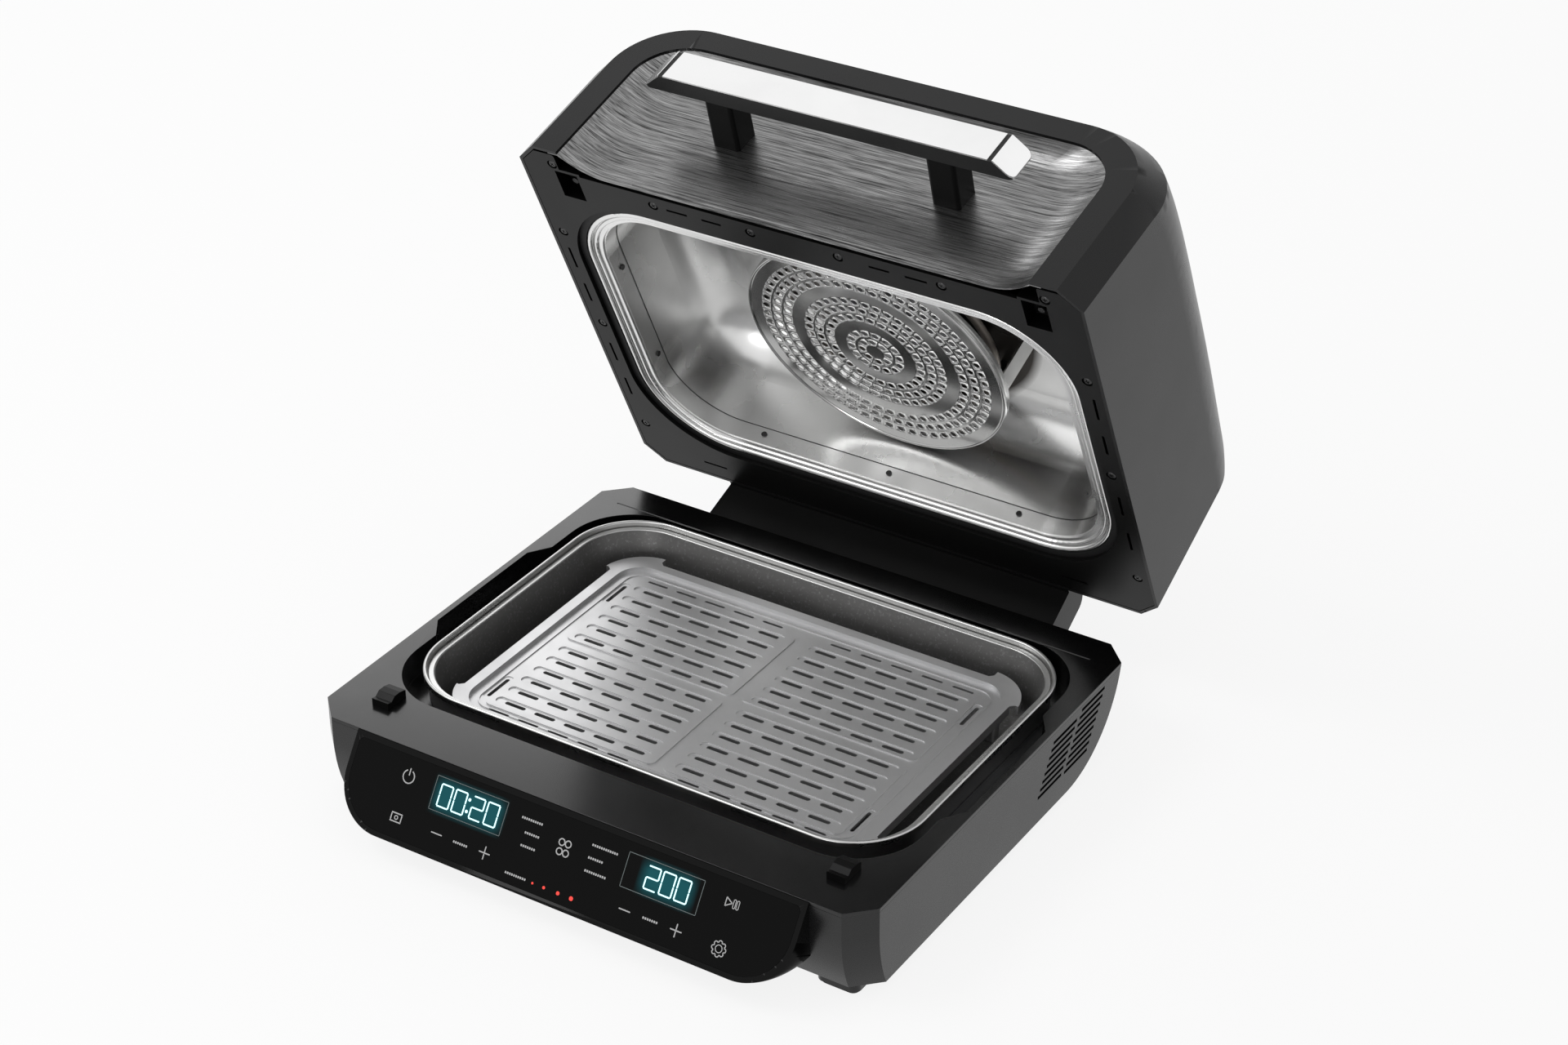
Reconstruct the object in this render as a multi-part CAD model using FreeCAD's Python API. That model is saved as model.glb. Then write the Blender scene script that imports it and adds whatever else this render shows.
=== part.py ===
import FreeCAD, Part
import math
import os

# A countertop air fryer oven with a hinged lid, shown with the lid open.
# Sizes are in millimetres. X runs to the right, Y to the back and Z up.
# Base pieces are made with Z zero on the table and Y zero at the middle of the deck.
# Lid pieces are made on the closed lid: X, distance back from its front rim, height above its rim.

Vec = FreeCAD.Vector

# Base housing
body_width = 450.0
body_depth = 367.0
body_chamfer = 17.7
deck_top = 74.0
deck_thickness = 3.0
housing_wall = 2.5
housing_bottom = 8.5
front_curve_drop = 20.0
front_curve_radius = 118.7
back_curve_rise = 13.1
foot_length = 28.0
foot_width = 32.0
foot_side = 29.0
foot_front = 25.5
foot_back = 85.5
rubber_thickness = 2.5
base_plate_half = 175.0
base_plate_front = -130.0
base_plate_back = 90.0
base_screw_inset = 6.0
base_screw_side = 8.0
board_height = 26.0
vent_groups = ((66.0, 11.5, 8), (107.0, 8.0, 9))
vent_pitch = 4.9
vent_step = 2.9
vent_length = 34.0
vent_height = 2.6

# Outlet for the supply lead
gland_side = 10.0
gland_z = 40.0
gland_radius = 5.5
gland_inset = 7.5
gland_bore = 3.2
gland_sleeve = 20.0
gland_collar = 4.0

# Lugs that close the lid switches
post_side = 39.0
post_setback = 37.5
post_length = 20.0
post_rise = 7.0

# Well in the deck and its finger recesses
well_side_gap = 7.0
well_front_gap = 12.7
well_back_gap = 4.7
well_radius = 52.0
recess_depth = 11.0
recess_middle = 8.0
recess_half_inner = 71.0
recess_half_outer = 54.5
well_depth = 22.0
well_wall = 1.5
ledge_thickness = 2.0

# Heat liner and cooking pan
sheet = 1.2
liner_gap = 5.0
pan_half_width = 202.0
pan_front = -123.8
pan_back = 152.8
pan_radius = 55.0
pan_wall = 1.0
pan_draft = 8.0
pan_depth = 50.0
pan_blend = 13.0
pan_rise = 1.0
pan_rim_width = 8.3
pan_step_drop = 5.0
roll_width = 2.8
roll_height = 4.5
bead_rise = 0.8

# Grill plate: outer frame, sunk field and four raised pads of slots
plate_drop = 19.5
field_drop = 3.2
plate_thickness = 2.2
plate_side_gap = 24.5
plate_front_gap = 13.3
plate_back_gap = 19.3
plate_radius = 36.0
notch_side = 6.0
notch_front = 5.0
notch_back = 8.0
notch_bevel = 3.0
tab_width = 37.0
tab_front_length = 30.5
tab_back_length = 33.5
plate_skirt = 5.0
field_side_inset = 14.5
field_front_inset = 10.5
field_back_inset = 15.7
field_radius = 20.0
ridge_inset = 6.4
ridge_width = 1.1
pad_gap = 3.8
pad_middle = 5.5
pad_side_inset = 15.0
pad_front_inset = 10.6
pad_back_inset = 19.8
pad_rise = 1.0
pad_radius = 5.0
row_insets = (8.9, 6.2)
row_pitch = 15.2
row_groove = 7.7
row_groove_depth = 0.9
slot_start = 24.5
slot_pitch = 25.5
slot_length = 17.3
slot_width = 3.4
thin_slot_insets = (7.0, 12.8)
thin_slot_start = 29.3
thin_slot_width = 2.2
side_slot_gap = 3.2
side_slot_width = 3.0
side_slot_length = 25.0
side_slot_insets = (9.4, 6.3)
leg_half = 4.5
leg_side_inset = 3.0
leg_insets = (22.4, 2.0)

# Control panel
panel_lean = 34.0
panel_length = 65.8
panel_half_width = 183.0
panel_radius = 38.0
panel_wall = 2.5
glass_thickness = 0.8
display_width = 58.5
display_height = 22.8
display_places = ((-80.0, 22.3), (78.3, 23.5))

# Lid
lid_gap = 1.0
lid_side_setback = 1.0
lid_front_setback = 1.5
lid_back_setback = 1.5
lid_wall = 2.5
lid_lean = 8.9
lid_face_length = 156.2
lid_bevel_width = 16.5
lid_face_radius = 56.0
lid_edge_radius = 60.0
lid_height = 169.0
lid_chamfer = 16.0
crown_peak = 170.0
crown_front_fall = 20.0
crown_back_fall = 4.0
lid_back_turn = 50.0
lid_back_fall = 27.0
lid_back_tighten = 15.0
lid_back_slope = 0.07
bevel_reach = 30.0
open_angle = 65.1
hinge_behind = 21.8
hinge_below = 36.4

# Front opening of the lid and its dished panel
front_strip = 20.5
front_top = 136.2
front_radius = 39.0
dish_depth = 17.0
dish_slope_width = 37.0
dish_flange = 8.0

# Rim frame, seal, dome and fan cover
frame_thickness = 3.0
frame_lift = 0.2
lip_side_gap = 8.5
lip_front_gap = 7.0
lip_back_gap = 18.0
lip_radius = 69.5
lip_recess = 6.5
lip_width = 12.0
lip_beads = ((0.0, 4.6, 3.2), (5.2, 8.8, 1.6))
seal_width = 5.5
dome_height = 95.0
dome_sheet = 0.8
dome_draft = 8.0
dome_blend = 38.0
skirt_height = 22.0
skirt_sheet = 1.2
rivet_height = 16.0
cover_radius = 105.0
cover_offset = 10.0
cover_height = 43.5
cover_rim = 6.0
cover_rings = ((15.0, 10.1), (24.0, 9.8), (33.0, 9.8), (50.5, 9.0), (59.0, 9.0), (68.0, 8.9), (85.0, 9.0), (94.0, 8.6))
cover_hole_radius = 2.6
cover_roll = 2.2
frame_screw_insets = ((28.5, 15.7), (11.5, 93.0), (11.5, 196.0), (11.5, 317.5))
front_screw_places = ((115.0, 31.5), (35.0, 31.5))
hole_before = 14.0
hole_behind = 12.0
switch_floor = 12.0
plunger_radius = 2.5

# Heater, fans and motor
heater_radius = 84.0
heater_tube = 3.3
heater_height = 70.0
heater_open = 18.0
heater_bend = 9.0
fan_height = 76.0
fan_radius = 62.0
shaft_radius = 3.0
motor_floor = 102.0
motor_height = 30.0
motor_radius = 33.0

# Handle
bar_stand_off = 38.0
bar_thickness = 13.3
bar_bottom = 60.0
bar_height = 28.5
bar_half_front = 132.0
bar_half_back = 146.0
bar_end_radius = 5.0
bar_plate = 1.2
bar_gap = (128.0, 131.5)
post_spacing = 176.0
post_width = 22.0
post_height = 23.0

# Hinge
tab_half_width = 151.5
tab_flare = 0.06
tab_thickness = 29.4
tab_rise = 26.0
barrel_radius = 16.0
ear_thickness = 13.0
ear_gap = 1.5
ear_root = 21.5
ear_radius = 15.0
pin_radius = 4.0
pin_clearance = 0.2
tab_clearance = 1.4

# Clearances
seat_gap = 0.3
slip = 0.2

half_width = body_width / 2
half_depth = body_depth / 2
post_x = half_width - post_side
post_y = post_setback - half_depth
gland_face = half_depth - gland_inset
gland_x = -(tab_half_width + ear_gap + ear_thickness + gland_side)
hinge_y = half_depth + hinge_behind
hinge_z = deck_top - hinge_below
lid_front = -half_depth + lid_front_setback
lid_floor = deck_top + lid_gap
root_two = math.sqrt(2.0)
pan_rim_top = deck_top + pan_rise
pan_step = pan_rim_top - pan_step_drop
pan_bottom = pan_rim_top - pan_depth
well_half_width = pan_half_width + well_side_gap
well_front = pan_front - well_front_gap
well_back = pan_back + well_back_gap
recess_reach = well_half_width + recess_depth
plate_top = pan_rim_top - plate_drop
plate_field = plate_top - field_drop
plate_half_width = pan_half_width - plate_side_gap
plate_front = pan_front + plate_front_gap
plate_back = pan_back - plate_back_gap
field_half = plate_half_width - field_side_inset
field_front = plate_front + field_front_inset
field_back = plate_back - field_back_inset
pad_outer = field_half - pad_side_inset
pad_spans = ((field_front + pad_front_inset, pad_middle - pad_gap), (pad_middle + pad_gap, field_back - pad_back_inset))
lid_half_width = half_width - lid_side_setback
lid_depth = body_depth - lid_front_setback - lid_back_setback
lid_face_half_width = lid_half_width - lid_bevel_width
front_half_width = lid_face_half_width - front_strip
frame_screw_places = tuple((lid_half_width - inset, s) for inset, s in frame_screw_insets)
lip_half_width = well_half_width - lip_side_gap
lip_front = well_front + lip_front_gap - lid_front
lip_back = well_back - lip_back_gap - lid_front
cover_centre = (lip_front + lip_back) / 2 + cover_offset
liner_floor = pan_bottom - liner_gap
liner_half = pan_half_width - 4.0
liner_front = pan_front + 4.0
liner_back = pan_back - 4.0
liner_radius = pan_radius - 4.0
ledge_top = deck_top - well_depth
ledge_low = ledge_top - ledge_thickness
lean = math.radians(panel_lean)
panel_edge_z = deck_top - 0.6
face_lean = math.radians(lid_lean)
face_normal = Vec(0, math.cos(face_lean), -math.sin(face_lean))
panel_normal = Vec(0, math.cos(lean), -math.sin(lean))
frame_top = frame_lift + frame_thickness
post_s = post_y - lid_front
hole_front = post_s - hole_before
hole_back = post_s + hole_behind


# Outlines and simple solids
def on_xy(z):
    return lambda a, b: Vec(a, b, z)


def on_yz(x):
    return lambda a, b: Vec(x, a, b)


def on_xz(y):
    return lambda a, b: Vec(a, y, b)


def corner_points(before, corner, after):
    # Start, middle and end of the arc that rounds one corner.
    a, b, radius = corner
    back = (before[0] - a, before[1] - b)
    ahead = (after[0] - a, after[1] - b)
    back_length = math.hypot(*back)
    ahead_length = math.hypot(*ahead)
    back = (back[0] / back_length, back[1] / back_length)
    ahead = (ahead[0] / ahead_length, ahead[1] / ahead_length)
    half = math.acos(back[0] * ahead[0] + back[1] * ahead[1]) / 2
    run = radius / math.tan(half)
    middle = (back[0] + ahead[0], back[1] + ahead[1])
    middle_length = math.hypot(*middle)
    reach = (radius / math.sin(half) - radius) / middle_length
    start = (a + back[0] * run, b + back[1] * run)
    centre = (a + middle[0] * reach, b + middle[1] * reach)
    stop = (a + ahead[0] * run, b + ahead[1] * run)
    return start, centre, stop


def outline(corners, place):
    # Closed wire through corners (a, b, radius), rounded where the radius is above zero.
    spans = []
    for index, corner in enumerate(corners):
        if corner[2] > 0:
            after = corners[(index + 1) % len(corners)]
            spans.append(corner_points(corners[index - 1], corner, after))
        else:
            spans.append((corner[:2], None, corner[:2]))
    edges = []
    for index, (start, middle, stop) in enumerate(spans):
        following = spans[(index + 1) % len(spans)][0]
        if middle is not None:
            edges.append(Part.Arc(place(*start), place(*middle), place(*stop)).toShape())
        if math.dist(stop, following) > 1e-6:
            edges.append(Part.makeLine(place(*stop), place(*following)))
    return Part.Wire(edges)


def prism(corners, place, run):
    return Part.Face(outline(corners, place)).extrude(run)


def slab(corners, low, high):
    return prism(corners, on_xy(low), Vec(0, 0, high - low))


def across(corners, left, right):
    # Profile (y, z) drawn from left to right.
    return prism(corners, on_yz(left), Vec(right - left, 0, 0))


def rect(half, front, back, radius, grow=0.0):
    # Corners of a rectangle, half as wide as given each side of the middle.
    rounding = max(radius + grow, 0.0)
    right = half + grow
    low = front - grow
    high = back + grow
    return [(-right, low, rounding), (right, low, rounding), (right, high, rounding), (-right, high, rounding)]


def box(x0, x1, y0, y1, z0, z1):
    return Part.makeBox(x1 - x0, y1 - y0, z1 - z0, Vec(x0, y0, z0))


def rod(x, y, z, radius, height):
    return Part.makeCylinder(radius, height, Vec(x, y, z))


def rod_across(x, y, z, radius, length):
    return Part.makeCylinder(radius, length, Vec(x, y, z), Vec(1, 0, 0))


def rod_back(x, y, z, radius, length):
    return Part.makeCylinder(radius, length, Vec(x, y, z), Vec(0, 1, 0))


def join(shapes):
    # One solid from pieces that overlap or meet face to face.
    result = shapes[0]
    if len(shapes) > 1:
        result = result.fuse(shapes[1:])
    return result.removeSplitter()


def both_sides(shape):
    return [shape, shape.mirror(Vec(0, 0, 0), Vec(1, 0, 0))]


def ring(outer, inner, low, high):
    # Flat frame between two outlines.
    return slab(outer, low, high).cut(slab(inner, low - 1, high + 1))


def screw(x, y, z, radius, length, head_radius, head_height):
    # Head below z and shank above it.
    head = rod(x, y, z - head_height, head_radius, head_height)
    return head.fuse(rod(x, y, z, radius, length)).removeSplitter()


def arc_edge(middle, radius, start, stop, place):
    # Arc about a centre (a, b) between two angles in radians.
    points = []
    for angle in (start, (start + stop) / 2, stop):
        points.append(place(middle[0] + radius * math.cos(angle), middle[1] + radius * math.sin(angle)))
    return Part.Arc(*points).toShape()


def body(shapes):
    return Part.makeCompound(shapes)


# Base housing: one profile drawn three ways gives the chamfered corners
def housing_profile(wall, spread, top, place):
    knee = deck_top - front_curve_drop
    bottom = housing_bottom + wall
    front_middle = -half_depth - spread + front_curve_radius
    front_radius_here = front_curve_radius - wall
    back_height = deck_top + back_curve_rise
    back_radius = back_height - housing_bottom - wall
    back_middle = half_depth + spread - math.sqrt((back_radius + wall) ** 2 - back_curve_rise ** 2)
    front_angle = math.pi + math.asin((knee - bottom) / front_radius_here)
    back_angle = math.asin((top - back_height) / back_radius)
    front = front_middle - front_radius_here
    bottom_front = front_middle + front_radius_here * math.cos(front_angle)
    top_back = back_middle + back_radius * math.cos(back_angle)
    edges = [
        Part.makeLine(place(top_back, top), place(front, top)),
        Part.makeLine(place(front, top), place(front, knee)),
        arc_edge((front_middle, knee), front_radius_here, math.pi, front_angle, place),
        Part.makeLine(place(bottom_front, bottom), place(back_middle, bottom)),
        arc_edge((back_middle, back_height), back_radius, -math.pi / 2, back_angle, place),
    ]
    return Part.Face(Part.Wire(edges))


def housing_block(wall, top):
    half = half_width - wall
    block = housing_profile(wall, 0, top, on_yz(-half)).extrude(Vec(2 * half, 0, 0))
    spread = half_width - body_chamfer - wall * (root_two - 1)
    reach = body_width
    for side in (-1, 1):
        def place(a, b, side=side):
            return Vec(-reach, a - side * reach, b)
        diagonal = housing_profile(wall, spread, top, place)
        block = block.common(diagonal.extrude(Vec(2 * reach, 2 * reach * side, 0)))
    return block


housing_top = deck_top - deck_thickness
foot_places = []
for foot_x in (foot_side - half_width, half_width - foot_side):
    foot_places.append((foot_x, foot_front - half_depth))
    foot_places.append((foot_x, half_depth - foot_back))

base_screw_places = []
for screw_x in (base_screw_side - base_plate_half, 0.0, base_plate_half - base_screw_side):
    for screw_y in (base_plate_front + base_screw_inset, base_plate_back - base_screw_inset):
        base_screw_places.append((screw_x, screw_y))


def vent_slots():
    slots = []
    for start, drop, rows in vent_groups:
        for row in range(rows):
            z = deck_top - drop - vent_pitch * row
            y = start - vent_step * row
            slots.append(box(half_width - 8, half_width + 1, y, y + vent_length, z, z + vent_height))
    return slots


def hinge_ear():
    left = tab_half_width + ear_gap
    right = left + ear_thickness
    reach = half_depth - ear_root
    arm = across([
        (reach, hinge_z - 13, 0), (hinge_y, hinge_z - ear_radius, 0),
        (hinge_y, hinge_z + ear_radius, 0), (reach + 6, hinge_z + ear_radius + 2, 0)], left, right)
    knuckle = rod_across(left, hinge_y, hinge_z, ear_radius, ear_thickness)
    return arm.fuse(knuckle)


def base_housing():
    shell = housing_block(0, housing_top).cut(housing_block(housing_wall, housing_top + 2))
    parts = [shell]
    for x, y in foot_places:
        leg = rect(foot_width / 2, -foot_length / 2, foot_length / 2, 6)
        block = slab(leg, rubber_thickness, housing_bottom + housing_wall)
        block.translate(Vec(x, y, 0))
        parts.append(block)
    for x, y in base_screw_places:
        parts.append(rod(x, y, housing_bottom, 4.5, 7.0))
    for x in (-120.0, 120.0):
        for y in (-168.0, -134.0):
            parts.append(rod(x, y, housing_bottom + housing_wall - 0.5, 4.0, board_height - housing_bottom - 2))
    parts.extend(both_sides(hinge_ear()))
    boss = gland_sleeve + 2
    parts.append(rod_back(gland_x, gland_face - boss, gland_z, gland_radius + 2.5, boss))
    shell = join(parts)
    opening = rect(base_plate_half - 20, base_plate_front + 22, base_plate_back - 22, 10)
    cutters = [slab(opening, housing_bottom - 1, housing_bottom + housing_wall + 1)]
    for slot in vent_slots():
        cutters.extend(both_sides(slot))
    for x, y in base_screw_places:
        cutters.append(rod(x, y, housing_bottom - 1, 1.5, 7.5))
    cutters.append(rod_across(-half_width, hinge_y, hinge_z, pin_radius, body_width))
    cutters.append(rod_back(gland_x, gland_face - 40, gland_z, gland_radius, 60))
    return shell.cut(cutters)


def rubber_feet():
    pads = []
    for x, y in foot_places:
        pad = slab(rect(foot_width / 2 - 2, 2 - foot_length / 2, foot_length / 2 - 2, 5), 0, rubber_thickness)
        pad.translate(Vec(x, y, 0))
        pads.append(pad)
    return body(pads)


def base_plate():
    low = housing_bottom - sheet
    plate = slab(rect(base_plate_half, base_plate_front, base_plate_back, 14), low, housing_bottom)
    cutters = []
    for x in range(-120, 121, 40):
        for y in (-60.0, -45.0, 20.0, 35.0):
            cutters.append(box(x - 12, x + 12, y - 2, y + 2, low - 1, housing_bottom + 1))
    for x, y in base_screw_places:
        cutters.append(rod(x, y, low - 1, 1.7, 3))
    return plate.cut(cutters)


def base_plate_screws():
    low = housing_bottom - sheet
    return body([screw(x, y, low, 1.5, 7.0, 3.4, 1.8) for x, y in base_screw_places])


# Deck with the well for the pan
def well_block(grow, low, high):
    middle = rect(well_half_width, well_front, well_back, well_radius, grow)
    near = well_half_width + grow
    far = recess_reach + grow
    inner = recess_half_inner + grow / 2
    outer = recess_half_outer + grow / 2
    recess = [(0, recess_middle - inner, 0), (near, recess_middle - inner, 0), (far, recess_middle - outer, 0),
              (far, recess_middle + outer, 0), (near, recess_middle + inner, 0), (0, recess_middle + inner, 0)]
    return join([slab(middle, low, high)] + both_sides(slab(recess, low, high)))


def octagon(half_x, front, back, chamfer):
    return [(-half_x + chamfer, front, 0), (half_x - chamfer, front, 0), (half_x, front + chamfer, 0),
            (half_x, back - chamfer, 0), (half_x - chamfer, back, 0), (-half_x + chamfer, back, 0),
            (-half_x, back - chamfer, 0), (-half_x, front + chamfer, 0)]


def deck():
    top = slab(octagon(half_width, -half_depth, half_depth, body_chamfer), housing_top, deck_top)
    collar = well_block(well_wall, ledge_low, deck_top)
    solid = join([top, collar])
    well = well_block(0, ledge_top, deck_top + 1)
    hole = slab(rect(liner_half, liner_front, liner_back, liner_radius, slip), ledge_low - 1, ledge_top + 1)
    groove = box(128, 204, well_back - 0.6, well_back + 0.6, deck_top - 0.5, deck_top + 1)
    return solid.cut([well, hole] + both_sides(groove))


def interlock_posts():
    # Raised lugs on the front corners that close the lid switches.
    y = post_y - post_length / 2
    profile = [(y, deck_top, 0), (y + post_length, deck_top, 0), (y + post_length, deck_top + 5.5, 1),
               (y + post_length - 6, deck_top + post_rise, 1), (y + 8, deck_top + post_rise, 1),
               (y + 4, deck_top + 4, 0), (y, deck_top + 5, 0)]
    lug = across(profile, post_x - 7, post_x + 7)
    return body(both_sides(lug))


# Heat liner, pan and grill plate
def tub(half, front, back, radius, wall, low, high, blend):
    outer = slab(rect(half, front, back, radius), low, high)
    outer = outer.makeFillet(blend, edges_at(outer, low))
    inner = slab(rect(half, front, back, radius, -wall), low + wall, high + 5)
    inner = inner.makeFillet(blend - wall, edges_at(inner, low + wall))
    return outer.cut(inner)


def edges_at(solid, z):
    return [edge for edge in solid.Edges
            if abs(edge.BoundBox.ZMin - z) < 1e-4 and abs(edge.BoundBox.ZMax - z) < 1e-4]


def liner():
    top = pan_step - pan_wall - seat_gap
    shape = tub(liner_half, liner_front, liner_back, liner_radius, sheet, liner_floor, top, 12.0)
    flange = ring(rect(liner_half, liner_front, liner_back, liner_radius, 8),
                  rect(liner_half, liner_front, liner_back, liner_radius, -sheet / 2),
                  ledge_low - sheet, ledge_low)
    return join([shape, flange])


def tapered(half, front, back, radius, low, high, low_shrink, high_grow):
    wires = [outline(rect(half, front, back, radius, -low_shrink), on_xy(low)),
             outline(rect(half, front, back, radius, high_grow), on_xy(high))]
    return Part.makeLoft(wires, True, True)


def pan():
    # The edge is rolled, steps down to a ledge with a bead and then runs into the wall.
    full = (pan_half_width, pan_front, pan_back, pan_radius)
    inside = (pan_half_width - pan_rim_width, pan_front + pan_rim_width, pan_back - pan_rim_width,
              pan_radius - pan_rim_width)
    under = pan_step - pan_wall
    outer = tapered(*inside, pan_bottom, pan_step, pan_draft - pan_wall, pan_wall)
    outer = outer.makeFillet(pan_blend + pan_wall, edges_at(outer, pan_bottom))
    inner = tapered(*inside, pan_bottom + pan_wall, pan_step, pan_draft, 0)
    inner = inner.makeFillet(pan_blend, edges_at(inner, pan_bottom + pan_wall))
    mouth = slab(rect(*inside), pan_step - 0.01, pan_rim_top + 1)
    roll = ring(rect(*full), rect(*full, -roll_width), pan_rim_top - roll_height, pan_rim_top)
    roll = roll.makeFillet(roll_width * 0.45, edges_at(roll, pan_rim_top))
    riser = ring(rect(*full, pan_wall - roll_width), rect(*full, -roll_width), under, pan_rim_top - roll_width)
    ledge = ring(rect(*full, pan_wall - roll_width), rect(*full, -pan_rim_width), under, pan_step)
    bead = ring(rect(*full, -roll_width - bead_rise), rect(*full, bead_rise / 2 - pan_rim_width),
                pan_step - pan_wall / 2, pan_step + bead_rise)
    bead = bead.makeFillet(bead_rise * 0.9, edges_at(bead, pan_step + bead_rise))
    return join([outer, roll, riser, ledge, bead]).cut([inner, mouth])


def stadium(x0, x1, y0, y1, low, high):
    # Straight sides with round ends.
    radius = min(x1 - x0, y1 - y0) / 2 - 0.01
    return slab([(x0, y0, radius), (x1, y0, radius), (x1, y1, radius), (x0, y1, radius)], low, high)


def notch(corner, along, out, reach):
    # Corners of a shallow notch in an edge, with bevelled ends: along the edge from first to last.
    first, last = along
    depth, beyond = out
    points = [(first - notch_bevel, beyond), (first - notch_bevel, reach), (first, depth), (last, depth),
              (last + notch_bevel, reach), (last + notch_bevel, beyond)]
    return [corner(a, b) + (0,) for a, b in points]


def plate_outline(grow, low, high):
    # Tabs at the corners and a shallow notch in each edge.
    full = slab(rect(plate_half_width, plate_front, plate_back, plate_radius, grow), low, high)
    side = plate_half_width + grow
    back = plate_back + grow
    front = plate_front - grow
    span_y = (plate_front + tab_front_length - grow, plate_back - tab_back_length + grow)
    reach_x = plate_half_width - tab_width + grow
    span_x = (-reach_x, reach_x)
    side_notch = notch(lambda a, b: (b, a), span_y, (side - notch_side, side + 20), side - notch_side + notch_bevel)
    back_notch = notch(lambda a, b: (a, b), span_x, (back - notch_back, back + 20), back - notch_back + notch_bevel)
    front_notch = notch(lambda a, b: (a, b), span_x, (front + notch_front, front - 20),
                        front + notch_front - notch_bevel)
    cutters = both_sides(slab(side_notch, low - 1, high + 1))
    cutters.append(slab(back_notch, low - 1, high + 1))
    cutters.append(slab(front_notch, low - 1, high + 1))
    return full.cut(cutters)


def plate_pads():
    # Raised pads, one on each side, and the grooves that their rows of slots stand in.
    top = plate_field + pad_rise
    pads = []
    grooves = []
    for front, back in pad_spans:
        corners = [(pad_gap, front, pad_radius), (pad_outer, front, pad_radius),
                   (pad_outer, back, pad_radius), (pad_gap, back, pad_radius)]
        pads.append(slab(corners, plate_field - 0.2, top))
    for y in slot_rows():
        grooves.append(stadium(pad_gap + 7, pad_outer - 5, y - row_groove / 2, y + row_groove / 2,
                               top - row_groove_depth, top + 1))
    return pads, grooves


def slot_rows():
    rows = []
    for (front, back), inset in zip(pad_spans, row_insets):
        count = int((back - row_groove / 2 - front - inset) / row_pitch) + 1
        rows.extend(front + inset + row_pitch * row for row in range(count))
    return rows


def plate_slots(low, high):
    slots = []
    columns = int((pad_outer - 8 - slot_length / 2 - slot_start) / slot_pitch) + 1
    for column in range(columns):
        for y in slot_rows():
            slots.append((slot_start + slot_pitch * column, y, slot_width))
        for y in (field_front + thin_slot_insets[0], field_back - thin_slot_insets[1]):
            slots.append((thin_slot_start + slot_pitch * column, y, thin_slot_width))
    cutters = []
    for x, y, width in slots:
        cutters.append(stadium(x - slot_length / 2, x + slot_length / 2, y - width / 2, y + width / 2, low, high))
    left = pad_outer + side_slot_gap - side_slot_width / 2
    right = left + side_slot_width
    near = pad_spans[0][0] + side_slot_insets[0]
    far = pad_spans[1][1] - side_slot_insets[1]
    for front, back in ((near, near + side_slot_length), (far - side_slot_length, far)):
        cutters.append(stadium(left, right, front, back, low, high))
        cutters.append(stadium(left - 2.3, right + 2.3, front - 3, back + 3, plate_field - 0.5, high))
    return cutters


def grill_plate():
    under = plate_top - plate_thickness
    field_under = plate_field - plate_thickness
    field = (field_half, field_front, field_back, field_radius)
    frame = plate_outline(0, under, plate_top)
    skirt = plate_outline(0, under - plate_skirt, under).cut(
        plate_outline(-plate_thickness, under - plate_skirt - 1, under + 1))
    step = ring(rect(*field, plate_thickness), rect(*field), field_under, plate_top)
    floor = slab(rect(*field, plate_thickness), field_under, plate_field)
    ridge = ring(rect(*field, -ridge_inset), rect(*field, -ridge_inset - ridge_width),
                 plate_field - 0.2, plate_field + 0.8)
    pads, grooves = plate_pads()
    legs = []
    leg_x = field_half - leg_side_inset
    for y in (pad_spans[0][0] + leg_insets[0], pad_spans[1][1] - leg_insets[1]):
        corners = [(leg_x - leg_half, y - leg_half, 2), (leg_x + leg_half, y - leg_half, 2),
                   (leg_x + leg_half, y + leg_half, 2), (leg_x - leg_half, y + leg_half, 2)]
        legs.append(slab(corners, pan_bottom + pan_wall + seat_gap, field_under + 0.5))
    mirrored = []
    for shape in pads + legs:
        mirrored.extend(both_sides(shape))
    well = slab(rect(*field), plate_field, plate_top + 1)
    shape = join([join([frame, skirt, step, floor]).cut(well), ridge] + mirrored)
    cutters = []
    for cutter in grooves + plate_slots(field_under - 1, plate_top + 2):
        cutters.extend(both_sides(cutter))
    return shape.cut(cutters)


# Control panel on the leaning front
def panel_place(depth):
    # X across and distance down the face, at a depth behind the face.
    def place(a, b):
        y = -half_depth - b * math.sin(lean) + depth * math.cos(lean)
        z = deck_top - b * math.cos(lean) - depth * math.sin(lean)
        return Vec(a, y, z)
    return place


def panel_block(inset, face_depth):
    # Wedge in front of the housing, with rounded lower corners.
    half = panel_half_width - inset
    bottom = panel_length - inset
    radius = panel_radius - inset
    corners = [(-half, -20, 0), (half, -20, 0), (half, bottom, radius), (-half, bottom, radius)]
    block = prism(corners, panel_place(face_depth), panel_normal * 80)
    low_y = -half_depth - panel_length * math.sin(lean)
    low_z = deck_top - panel_length * math.cos(lean)
    wedge = across([(low_y - 30, panel_edge_z, 0), (low_y - 30, low_z - 10, 0), (low_y + 2, low_z - 0.6, 0),
                    (-half_depth + 3, low_z + 8, 0), (-half_depth + 3, panel_edge_z, 0)], -half - 1, half + 1)
    return block.common(wedge)


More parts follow.
